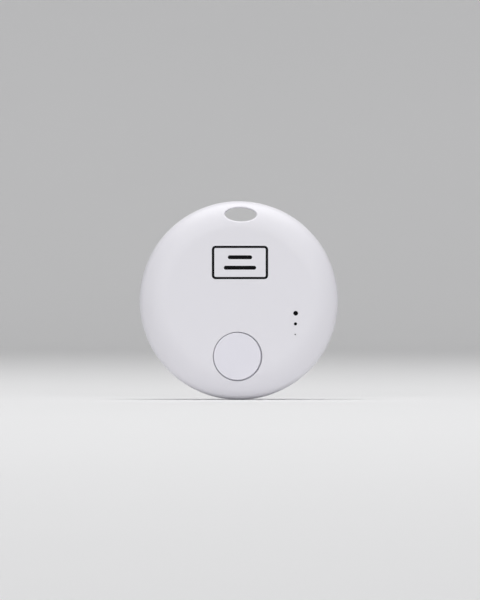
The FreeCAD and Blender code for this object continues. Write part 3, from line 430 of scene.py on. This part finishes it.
def rear_piece(material):
    """The rear shell: a flat ring, a rounded side, the door's recess and the threaded bore."""
    mouth_r, mark_at, flat_r, behind = 12.7, 13.6, 15.0, CASE_DEPTH - WALL
    outside = Outline(line((mouth_r, CASE_DEPTH)), *side(flat_r, 5.0, 2.2, REAR))
    inside = Outline(line((COLLAR_R, behind), (14.3, behind), (INSIDE_R, 5.2), (INSIDE_R, SEAM)))
    slot = oval(*SLOT, count=144, edge=0.35, reach=0.5)
    slot_back = oval(*SLOT, count=144, reach=SLOT_TUBE)
    marks = [mark(mark_at * math.cos(angle), mark_at * math.sin(angle)) for angle in MARK_TURNS]
    recess = line(
        (mouth_r, CASE_DEPTH), (12.66, 7.985), (12.52, 7.84), (RECESS_R, 7.8), (RECESS_R, SEAL_SEAT)
    )

    def spacing(length):
        """Rings lie close where the outline bends."""
        return np.where(length < flat_r - 0.5, 0.6, np.where(length < flat_r + 3.0, 0.26, 0.2))

    patches = [
        skin(outside, mouth_r, outside.length_at(RIM_R), spacing, [slot] + marks, RUN_TURN),
        skin(inside, COLLAR_R, inside.length_at(BACK_RIM_R), even(1.6), [slot_back], RUN_TURN),
        turned(recess, turn=RUN_TURN),
        turned(line((COLLAR_R, COLLAR_END), (COLLAR_R, behind)), turn=RUN_TURN),
    ]
    patches += rims(outside, inside) + bore()
    patches += [mouth(outside, hole, REAR) for hole in [slot] + marks]
    for dot in marks:
        patches += dimple(dot, CASE_DEPTH, MARK_DEPTH)
    patches += slot_tube(slot, rim_depth(outside, slot, REAR), inside, REAR)
    return piece("rear_case", patches, "case", material)


def mark(x, z):
    """An alignment dot."""
    return oval(x, z, MARK_R, MARK_R, count=40, edge=0.05, reach=0.14)


def dimple(hole, face_depth, sunk):
    """Side and bottom of a hole that ends a little below the rear face that it is in."""
    return [wall(hole, face_depth - hole.edge, face_depth - sunk), floor_of(hole, face_depth - sunk)]


def bore():
    """The door's opening: radius over angle and depth, with three runs that climb by the thread's lead.

    The angle goes from +x towards -z, as the thread does. The middle of a run starts at the first depth,
    and its edges are half its height to each side. Its top is cut off by the seal's seat. Rows of points
    follow the two edges.
    """
    first, half = 5.81, 0.45
    local = np.tile(RUN_STEPS, 3)
    plain = np.full(local.shape, OPENING_R)
    open_run = (local > 0) & (local < RUN_LEAVE)
    middle = first + THREAD_LEAD * np.minimum(local, RUN_LEAVE) / 360
    high = np.minimum(middle + half, SEAL_SEAT)
    low = np.minimum(middle - half, SEAL_SEAT)
    inner = np.where(open_run, RUN_R, plain)
    at_seat = np.where(open_run & (middle + half >= SEAL_SEAT), RUN_R, plain)
    radius = np.stack([at_seat, at_seat, inner, inner, plain, plain])
    depth = np.stack([local * 0 + SEAL_SEAT, high, high, low, low, local * 0 + COLLAR_END])

    def ring(radii, level):
        return in_frame(radii * np.cos(RUN_TURN), level, radii * np.sin(RUN_TURN))

    return [
        sheet_of(ring(radius, depth)),
        sheet_of(np.stack([ring(at_seat, SEAL_SEAT), ring(RECESS_R, SEAL_SEAT)])),
        sheet_of(np.stack([ring(plain, COLLAR_END), ring(COLLAR_R, COLLAR_END)])),
    ]


def door_piece(material):
    """The battery door: a disc with a coin slot and a dot, a hollow plug behind it and three lugs."""
    flat_r, disc_r, round_r, plug_r, hollow_r = 11.95, 12.3, 0.22, 11.3, 10.5
    back, plug_end, roof = 7.1, 5.5, 6.8
    coin_depth, dot_rise = 0.55, 11.2
    face = Outline(line((0, DOOR_FACE), (disc_r, DOOR_FACE)))
    coin = rounded_box(0, 0, wide=5.5, high=0.85, corner=0.25, count=64, edge=0.12, reach=0.3)
    dot = mark(0, dot_rise)
    rows = np.concatenate(
        [
            line((flat_r, DOOR_FACE)),
            bend((disc_r - round_r, DOOR_FACE - round_r), round_r, 0, 90, REAR, 6),
            line((disc_r, back + 0.03), (disc_r - 0.03, back)),
            line((plug_r + 0.05, back), (plug_r, back - 0.05)),
            line((plug_r, plug_end + 0.06), (plug_r - 0.06, plug_end)),
            line((hollow_r + 0.06, plug_end), (hollow_r, plug_end + 0.06)),
            line((hollow_r, roof - 0.1), (hollow_r - 0.1, roof), (8, roof), (0, roof)),
        ]
    )
    patches = [skin(face, 0, flat_r, even(1.5), [coin, dot]), turned(rows)]
    patches += [mouth(face, hole, REAR) for hole in (coin, dot)]
    patches += dimple(coin, DOOR_FACE, coin_depth) + dimple(dot, DOOR_FACE, MARK_DEPTH)
    patches += [lug(start) for start in (0, 120, 240)]
    return piece("battery_cover", patches, "door", material)


def lug(start):
    """One thread lug: a section that climbs by the thread's lead as it turns, with eased ends and edges.

    At its ends the height over the root grows as the square root of the way in. Each corner of the section
    is a share of that height and a depth from the section's middle.
    """
    first, sweep, half, edge, ease_share = 5.85, 14, 0.35, 0.05, 0.06
    root_r, end_r, crest_r = 11.1, 11.25, 12.0
    share = np.linspace(0, 1, 17)
    ease = np.minimum(1, np.minimum(share, 1 - share) / ease_share) ** 0.5
    reach = end_r + (crest_r - end_r) * ease - root_r
    middle = first + THREAD_LEAD * sweep * share / 360
    corners = [(0, -half), (0, half), (0.93, half), (1, half - edge), (1, edge - half), (0.93, -half)]
    radius = np.stack([root_r + reach * out for out, _ in corners], axis=1)
    depth = np.stack([middle + up for _, up in corners], axis=1)
    angle = -np.radians(start + sweep * share)[:, None]
    sides = in_frame(radius * np.cos(angle), depth, radius * np.sin(angle))
    middles = sides.mean(axis=1, keepdims=True).repeat(len(corners), axis=1)
    return sheet_of(np.concatenate([middles[:1], sides, middles[-1:]]))


# Button, seal and cell
def button_piece(material):
    """The button: a flat face with a fine rounded edge, a skirt with a flange, and a ram on the switch."""
    flat_r, cap_r, round_r, flange_r, hollow_r, ram_r = 4.29, 4.52, 0.15, 5.3, 3.95, 1.3
    roof, end = 0.7, 1.4
    play_x, play_z = -0.06, 0.036  # the button sits a hair off the middle of its hole
    rows = np.concatenate(
        [
            line((0, 0), (3, 0), (flat_r, 0)),
            bend((cap_r - round_r, round_r), round_r, 0, 90, FRONT, 7),
            line((cap_r, WALL), (flange_r - 0.05, WALL), (flange_r, WALL + 0.05), (flange_r, end)),
            line((hollow_r, end), (hollow_r, roof + 0.1), (hollow_r - 0.1, roof)),
            line((ram_r + 0.05, roof), (ram_r, roof + 0.05), (ram_r, end), (0, end)),
        ]
    )
    patches = [turned(rows, BUTTON_AT[0] + play_x, BUTTON_AT[1] + play_z)]
    return piece("button", patches, "button", material)


def seal_piece(material):
    """The sealing ring: a flat ring, its section a box with four round corners."""
    outer_r, inner_r, round_r = 12.1, 11.7, 0.15
    front, back = 6.86, 6.94
    rows = np.concatenate(
        [
            bend((outer_r, front), round_r, 0, 90, FRONT, 4),
            bend((outer_r, back), round_r, 90, 0, REAR, 4),
            bend((inner_r, back), round_r, 0, -90, REAR, 4),
            bend((inner_r, front), round_r, -90, 0, FRONT, 4),
            line((outer_r, front - round_r)),
        ]
    )
    return piece("sealing_ring", [turned(rows)], "door_carrier", material)


def cell_piece(material):
    """The coin cell's can: a cup with rolled edges, turned in at the front, with a fine groove behind."""
    can_r, lip_r, round_r, sheet = 10.0, 9.15, 0.4, 0.25
    front, back, groove = 3.5, 6.5, 6.47
    rows = np.concatenate(
        [
            line((0, back - sheet), (can_r - sheet, back - sheet), (can_r - sheet, front + sheet)),
            line((lip_r, front + sheet), (lip_r, front), (9.5, front)),
            bend((can_r - round_r, front + round_r), round_r, 0, 90, FRONT, 8),
            bend((can_r - round_r, back - round_r), round_r, 90, 0, REAR, 8),
            line((9.45, back), (9.1, back), (9.0, groove), (8.9, groove), (8.8, back)),
            line((6, back), (0, back)),
        ]
    )
    return piece("cell_shell", [turned(rows)], "cell", material)


# Print
def print_piece(material):
    """The print on the front: an open frame and two plain bars, each a film of ink with a rounded edge.

    The film's top is proud of the front, its edge falls by half of that, and its root is in the front.
    """
    proud, fallen, root, round_r = -0.012, -0.006, 0.01, 0.01
    outer = rounded_box(0, 0, wide=5.376, high=3.185, corner=0.71, count=80)
    inner = rounded_box(0, 0, wide=4.904, high=2.755, corner=0.28, count=80)
    loops = [outer.ring(0), outer.ring(-round_r), inner.ring(round_r)]
    loops += [inner.ring(0), inner.ring(0), outer.ring(0), outer.ring(0)]
    patches = [film(*np.stack(loops, axis=1), [fallen, proud, proud, fallen, root, root, fallen])]
    share = np.array([0, 0.96, 1, 1, 0])[:, None]
    for rise, half_length in ((1.0, 2.325), (-1.0, 3.09)):
        x, z = rounded_box(0, rise, half_length, high=0.37, corner=0.369, count=64).ring(0.0)
        patches.append(film(x * share, rise + (z - rise) * share, [proud, proud, fallen, root, root]))
    return piece("front_print", patches, "case", material)


def film(x, z, depths):
    """Loops of the print, one at each depth, turned by the tilt and moved to the print's place."""
    turn = math.radians(TILT)
    across = PRINT_AT[0] + x * math.cos(turn) - z * math.sin(turn)
    up = PRINT_AT[1] + x * math.sin(turn) + z * math.cos(turn)
    return sheet_of(in_frame(across, np.array(depths)[:, None], up))


# Materials
NOISE_LOW, NOISE_HIGH = 0.3, 0.7


class Tree:
    """A node tree being wired up."""

    def __init__(self, tree):
        self.tree = tree

    def node(self, kind, settings=(), **inputs):
        """A new node with its settings, and a value or a link for each input."""
        made = self.tree.nodes.new(kind)
        for key, value in dict(settings).items():
            setattr(made, key, value)
        for key, value in inputs.items():
            self.feed(made.inputs[key.replace("_", " ")], value)
        return made

    def feed(self, socket, value):
        """A link where the value is a socket, and otherwise a constant."""
        if isinstance(value, bpy.types.NodeSocket):
            self.tree.links.new(value, socket)
        else:
            socket.default_value = value

    def maths(self, operation, first, second=0.0):
        """The result of an operation on one or two numbers or sockets."""
        made = self.tree.nodes.new("ShaderNodeMath")
        made.operation = operation
        self.feed(made.inputs[0], first)
        self.feed(made.inputs[1], second)
        return made.outputs[0]

    def mix(self, share, first, second):
        """Blend of two colours."""
        made = self.tree.nodes.new("ShaderNodeMix")
        made.data_type = "RGBA"
        self.feed(made.inputs["Factor"], share)
        self.feed(made.inputs[6], first)
        self.feed(made.inputs[7], second)
        return made.outputs[2]

    def range(self, value, low, high, from_low=NOISE_LOW, from_high=NOISE_HIGH):
        """A value moved from one range to another, at first from where a noise's values lie."""
        limits = {"From_Min": from_low, "From_Max": from_high, "To_Min": low, "To_Max": high}
        return self.node("ShaderNodeMapRange", Value=value, **limits).outputs["Result"]

    def place(self):
        """Where a point of the surface is, in the object's frame."""
        return self.node("ShaderNodeTexCoord").outputs["Object"]

    def noise(self, place, scale, **inputs):
        """Noise with a number of features to the metre."""
        return self.node("ShaderNodeTexNoise", Vector=place, Scale=scale, **inputs).outputs["Fac"]

    def stretched(self, place, scale):
        """A place with each axis scaled, so that a pattern is long where the scale is small."""
        return self.node("ShaderNodeMapping", Vector=place, Scale=scale).outputs["Vector"]

    def group(self, group, **inputs):
        """The outputs of a shader node group that is placed with its own values."""
        return self.node("ShaderNodeGroup", {"node_tree": group}, **inputs).outputs

    def bump(self, shader, height):
        """Relief on a shader, from a height in millimetres."""
        made = self.node("ShaderNodeBump", Height=height, Distance=MM, Strength=1.0)
        self.feed(shader.inputs["Normal"], made.outputs["Normal"])


def shader_group(name, inputs, outputs, build):
    """A node group whose sockets are numbers: inputs by name with first values, and outputs by name."""
    group = bpy.data.node_groups.new(name, "ShaderNodeTree")
    for label, value in inputs.items():
        socket = group.interface.new_socket(label, in_out="INPUT", socket_type="NodeSocketFloat")
        socket.default_value = value
    for label in outputs:
        group.interface.new_socket(label, in_out="OUTPUT", socket_type="NodeSocketFloat")
    start, end = group.nodes.new("NodeGroupInput"), group.nodes.new("NodeGroupOutput")
    build(Tree(group), start.outputs, end.inputs)
    return group


def wire_grain(tree, given, out):
    """Pits of a moulded or fired surface, as noise times a depth, and slow drifts of tone and gloss."""
    place = tree.place()
    pits = tree.noise(place, tree.maths("DIVIDE", 1 / MM, given["Grain"]), Roughness=0.6)
    drift = tree.noise(place, tree.maths("DIVIDE", 1 / MM, given["Drift"]), Detail=3.0)
    tree.feed(out["Height"], tree.maths("MULTIPLY", pits, given["Depth"]))
    tree.feed(out["Drift"], drift)


def wire_scratches(tree, given, out):
    """Fine scratches: noise stretched along one direction, in two layers that cross."""
    place = tree.place()
    first = tree.noise(tree.stretched(place, (1.0, 1.0, 0.06)), 1 / (0.06 * MM))
    second = tree.noise(tree.stretched(place, (0.05, 1.0, 1.0)), 1 / (0.05 * MM))
    both = tree.maths("ADD", tree.maths("MULTIPLY", first, 0.6), tree.maths("MULTIPLY", second, 0.4))
    tree.feed(out["Scratches"], both)
    tree.feed(out["Height"], tree.maths("MULTIPLY", both, given["Depth"]))


# Their sizes, depths and heights are millimetres
GRAIN = shader_group(
    "surface_grain", {"Grain": 0.12, "Drift": 9.0, "Depth": 0.004}, ("Height", "Drift"), wire_grain
)
SCRATCHES = shader_group(
    "fine_scratches", {"Depth": 0.003}, ("Scratches", "Height"), wire_scratches
)


def shade(colour, share=1.0):
    """A colour, darkened to a share of itself."""
    return (*(channel * share for channel in colour), 1.0)


def new_material(name, **constants):
    """A material with a Principled shader; constants are set on the shader's own sockets."""
    material = bpy.data.materials.new(name)
    material.use_nodes = True
    shader = material.node_tree.nodes["Principled BSDF"]
    for key, value in constants.items():
        shader.inputs[key.replace("_", " ")].default_value = value
    return material, Tree(material.node_tree), shader


def grainy(name, colour, roughness, grain=0.12, depth=0.004, drift=9.0, tone=0.02, gloss=0.05, **constants):
    """A solid-coloured finish: fine grain in the normal, slow drifts in tone and gloss."""
    material, tree, shader = new_material(name, **constants)
    surface = tree.group(GRAIN, Grain=grain, Drift=drift, Depth=depth)
    base = tree.mix(surface["Drift"], shade(colour, 1 - tone), shade(colour))
    tree.feed(shader.inputs["Base Color"], base)
    rough = tree.range(surface["Drift"], roughness - gloss, roughness + gloss)
    tree.feed(shader.inputs["Roughness"], rough)
    tree.bump(shader, surface["Height"])
    return material


def brushed(name, colour, roughness):
    """A metal with fine crossing scratches and slow drifts of tone."""
    material, tree, shader = new_material(name, Metallic=1.0)
    surface = tree.group(GRAIN, Grain=0.3, Drift=4.0)
    lines = tree.group(SCRATCHES, Depth=0.003)
    base = tree.mix(surface["Drift"], shade(colour, 0.86), shade(colour))
    tree.feed(shader.inputs["Base Color"], base)
    rough = tree.range(lines["Scratches"], roughness - 0.08, roughness + 0.12)
    tree.feed(shader.inputs["Roughness"], rough)
    tree.bump(shader, lines["Height"])
    return material


def cell_metal():
    """Nickel plate, with a dark plus sign on the cell's flat side above its middle."""
    rise, arm, half, flat_side = 4.5, 1.5, 0.24, 6.4
    material = brushed("cell_nickel", (0.66, 0.65, 0.62), 0.26)
    tree = Tree(material.node_tree)
    base = material.node_tree.nodes["Principled BSDF"].inputs["Base Color"]
    x, y, z = tree.node("ShaderNodeSeparateXYZ", Vector=tree.place()).outputs[:3]
    across = tree.maths("ABSOLUTE", x)
    along = tree.maths("ABSOLUTE", tree.maths("ADD", z, (SLOT_RISE - rise) * MM))

    def bar(first, second):
        inside = tree.maths("LESS_THAN", first, arm * MM)
        return tree.maths("MULTIPLY", inside, tree.maths("LESS_THAN", second, half * MM))

    plus = tree.maths("MAXIMUM", bar(across, along), bar(along, across))
    behind = tree.maths("GREATER_THAN", y, (flat_side - CASE_DEPTH / 2) * MM)
    plus = tree.maths("MULTIPLY", plus, behind)
    tree.feed(base, tree.mix(plus, base.links[0].from_socket, (0.2, 0.2, 0.19, 1.0)))
    return material


def woven_mesh():
    """Fine black woven mesh: two crossing sets of threads, each the size of a sine, one thread a pitch. The
    openings between the threads are darker, as painted shade.
    """
    material, tree, shader = new_material("dust_mesh", Roughness=0.8, Specular_IOR_Level=0.2)
    pitch = 0.11 * MM
    wave = math.pi / pitch
    x, _, z = tree.node("ShaderNodeSeparateXYZ", Vector=tree.place()).outputs[:3]
    warp = tree.maths("ABSOLUTE", tree.maths("SINE", tree.maths("MULTIPLY", x, wave)))
    weft = tree.maths("ABSOLUTE", tree.maths("SINE", tree.maths("MULTIPLY", z, wave)))
    threads = tree.maths("MAXIMUM", warp, weft)
    # gap: painted shade in the openings between the threads; thread: the threads' own black
    gap, thread = (0.001, 0.001, 0.0015, 1.0), (0.012, 0.012, 0.014, 1.0)
    tree.feed(shader.inputs["Base Color"], tree.mix(tree.range(threads, 0, 1, 0.7, 1.0), gap, thread))
    tree.bump(shader, tree.maths("MULTIPLY", threads, 0.02))
    return material


def board_mask():
    """Green solder mask over copper tracks, with bare gold pads: the edges and middles of square cells."""
    coat = {"Coat_Weight": 0.3, "Coat_Roughness": 0.15}
    material, tree, shader = new_material("board_mask", Roughness=0.35, **coat)
    place = tree.place()
    scale = 1 / (2.4 * MM)

    def cells(feature):
        """Distance to the nearest middle of a cell, F1, or to the second nearest, F2."""
        square = {"distance": "MANHATTAN", "feature": feature}
        return tree.node("ShaderNodeTexVoronoi", square, Vector=place, Scale=scale).outputs["Distance"]

    nearest = cells("F1")
    track = tree.range(tree.maths("SUBTRACT", cells("F2"), nearest), 1, 0, 0.10, 0.14)
    pad = tree.maths("LESS_THAN", nearest, 0.07)
    drift = tree.noise(place, 1 / (3.0 * MM))
    mask = tree.mix(drift, (0.006, 0.05, 0.022, 1.0), (0.009, 0.065, 0.03, 1.0))
    colour = tree.mix(track, mask, (0.02, 0.12, 0.05, 1.0))
    tree.feed(shader.inputs["Base Color"], tree.mix(pad, colour, (0.8, 0.55, 0.2, 1.0)))
    tree.feed(shader.inputs["Metallic"], tree.maths("MULTIPLY", pad, 0.9))
    height = tree.maths("ADD", track, tree.maths("MULTIPLY", pad, 0.5))
    tree.bump(shader, tree.maths("MULTIPLY", height, 0.02))
    return material


def foam():
    """Open foam: cell middles darkened as painted shade in the open pores, with soft walls."""
    material, tree, shader = new_material("foam_pad", Roughness=0.95, Sheen_Weight=0.2)
    scale = 1 / (0.25 * MM)
    cells = tree.node("ShaderNodeTexVoronoi", Vector=tree.place(), Scale=scale).outputs["Distance"]
    # middle: painted shade in the pores; edge: the foam's own dark walls
    middle, edge = (0.01, 0.01, 0.011, 1.0), (0.05, 0.05, 0.054, 1.0)
    tree.feed(shader.inputs["Base Color"], tree.mix(tree.range(cells, 0, 1, 0.1, 0.6), middle, edge))
    tree.bump(shader, tree.maths("MULTIPLY", cells, 0.06))
    return material


case_plastic = grainy(
    "case_satin", (0.789, 0.779, 0.824), 0.44,
    grain=0.09, depth=0.0012, drift=11.0, tone=0.012, gloss=0.03, IOR=1.53,
)
door_plastic = grainy(
    "door_satin", (0.78, 0.77, 0.813), 0.5,
    grain=0.11, depth=0.003, drift=8.0, tone=0.015, gloss=0.03, IOR=1.53,
)
button_plastic = grainy(
    "button_satin", (0.786, 0.776, 0.841), 0.42,
    grain=0.09, depth=0.001, drift=7.0, tone=0.01, gloss=0.03, IOR=1.53,
)
silicone = grainy("seal_silicone", (0.52, 0.52, 0.54), 0.55, grain=0.2, depth=0.004, tone=0.06)
lamp_resin = grainy(
    "lamp_resin", (0.4, 0.4, 0.4), 0.15,
    depth=0.0, tone=0.03, Transmission_Weight=0.35,
)
amber_film = grainy(
    "amber_film", (0.55, 0.25, 0.02), 0.2,
    grain=1.0, depth=0.002, tone=0.15, Coat_Weight=0.3,
)
cell_plate = cell_metal()
ink = grainy(
    "print_ink", (0.003, 0.003, 0.0045), 0.85,
    grain=0.1, depth=0.001, tone=0.2, Specular_IOR_Level=0.12,
)
FINISHES = {
    "case_plastic": case_plastic,
    "door_plastic": door_plastic,
    "button_plastic": button_plastic,
    "bay_plastic": grainy("bay_plastic", (0.022, 0.022, 0.024), 0.5, grain=0.14, depth=0.006, tone=0.2),
    "silicone": silicone,
    "foam": foam(),
    "adhesive": grainy("bond_adhesive", (0.7, 0.66, 0.5), 0.3, grain=0.5, depth=0.01, tone=0.1),
    "mesh_fabric": woven_mesh(),
    "brass": brushed("sounder_brass", (0.72, 0.5, 0.2), 0.3),
    "ceramic": grainy("fired_ceramic", (0.78, 0.75, 0.68), 0.6, grain=0.1, depth=0.004, tone=0.06),
    "gold_pins": brushed("gold_plate", (0.83, 0.6, 0.26), 0.24),
    "board_laminate": board_mask(),
    "chip_plastic": grainy("moulded_epoxy", (0.012, 0.012, 0.013), 0.55, grain=0.08, depth=0.005, tone=0.3),
    "tin": brushed("solder_tin", (0.66, 0.66, 0.67), 0.34),
    "steel_can": cell_plate,
    "steel_sheet": brushed("rolled_steel", (0.6, 0.6, 0.61), 0.3),
    "screw_steel": brushed("zinc_steel", (0.5, 0.5, 0.52), 0.36),
    "lamp_resin": lamp_resin,
    "lithium": brushed("lithium", (0.5, 0.5, 0.52), 0.5),
    "cathode_powder": grainy("pressed_powder", (0.02, 0.02, 0.02), 0.9, grain=0.1, depth=0.02, tone=0.4),
    "film": amber_film,
}

# The solids carried over take the finish of their slot
for entry in frame["record"]["subparts"]:
    node = frame["nodes"][entry["node"]]
    finish = FINISHES[entry["material_slot"]]
    if node.material_slots:
        for held in node.material_slots:
            held.material = finish
    else:
        node.data.materials.append(finish)

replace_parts(front_piece(case_plastic), "front_shell")
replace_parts(rear_piece(case_plastic), "rear_shell")
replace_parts(door_piece(door_plastic), "battery_door")
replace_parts(button_piece(button_plastic), "button_cap")
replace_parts(seal_piece(silicone), "door_seal")
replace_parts(cell_piece(cell_plate), "cell_can")
print_piece(ink)


# Studio: a pale bowl that the tag stands in, soft lamps and the camera
CENTRE = Vector((0.0, 0.0, -SLOT_RISE * MM))
LEVEL = Matrix.Rotation(math.radians(-TILT), 4, "Y")  # turns the studio and camera, not the tag
SENSOR = 36.0
LENS = 400.0
PICTURE_HEIGHT = 600  # pixels
PIXEL = 0.19157 * MM  # size of one at the disc
MIDDLE = (1.2, 0.5)  # pixels, right and up, from the disc's middle to the picture's


def studio(material):
    """A round floor, flat past the camera, that then rises as an arc to a rim higher than the picture."""
    flat_r, curve = 1.32, 0.42
    rise = np.radians(np.linspace(0, 60, 25))
    turn = angles(144)
    radius = np.concatenate([[0.0, 0.1, 0.4, 0.9], flat_r + curve * np.sin(rise)])[:, None]
    height = np.concatenate([[0, 0, 0, 0], curve - curve * np.cos(rise)])[:, None] - CASE_R * MM
    points = np.stack(np.broadcast_arrays(radius * np.cos(turn), radius * np.sin(turn), height), axis=-1)
    places, quads = sheet_of(points)
    mesh = bpy.data.meshes.new("studio_bowl")
    mesh.from_pydata(places, [], quads)
    mesh.transform(Matrix.Translation(CENTRE) @ LEVEL)
    form = bmesh.new()
    form.from_mesh(mesh)
    bmesh.ops.remove_doubles(form, verts=form.verts, dist=1e-6)
    form.to_mesh(mesh)
    form.free()
    mesh.polygons.foreach_set("use_smooth", np.ones(len(mesh.polygons), dtype=bool))
    mesh.materials.append(material)
    bowl = bpy.data.objects.new("studio_bowl", mesh)
    bpy.context.scene.collection.objects.link(bowl)


def lamp(name, place, size, power):
    """A soft rectangular lamp that points at the disc's middle and stays out of the picture."""
    data = bpy.data.lights.new(name, "AREA")
    data.shape = "RECTANGLE"
    data.size, data.size_y = size
    data.energy = power
    light = bpy.data.objects.new(name, data)
    light.location = place
    light.rotation_euler = (CENTRE - Vector(place)).to_track_quat("-Z", "Y").to_euler()
    light.visible_camera = False
    bpy.context.scene.collection.objects.link(light)


studio(grainy("pale_backdrop", (0.8, 0.8, 0.808), 0.9, grain=2.0, depth=0.0, drift=60.0, tone=0.02))
lamp("top_lamp", (0.0, -0.18, 1.33), size=(1.65, 0.96), power=21.1)
lamp("front_lamp", (0.0, -1.9, 0.5), size=(3.0, 0.7), power=17.4)
lamp("back_lamp", (0.0, 1.8, 0.9), size=(2.4, 0.8), power=6.2)

world = bpy.data.worlds.new("studio_air")
bpy.context.scene.world = world
world.use_nodes = True
world.node_tree.nodes["Background"].inputs["Color"].default_value = (1.0, 1.0, 1.0, 1.0)
world.node_tree.nodes["Background"].inputs["Strength"].default_value = 0.018

camera_data = bpy.data.cameras.new("camera")
camera_data.lens = LENS
camera_data.sensor_width = SENSOR
camera = bpy.data.objects.new("camera", camera_data)
bpy.context.scene.collection.objects.link(camera)
distance = PICTURE_HEIGHT * PIXEL * LENS / SENSOR
aside = LEVEL @ Vector((MIDDLE[0] * PIXEL, 0.0, MIDDLE[1] * PIXEL))
upright = Matrix.Rotation(math.radians(90), 4, "X")
camera.matrix_world = Matrix.Translation(CENTRE + aside + Vector((0, -distance, 0))) @ LEVEL @ upright
bpy.context.scene.camera = camera
bpy.context.scene.view_settings.view_transform = "Standard"
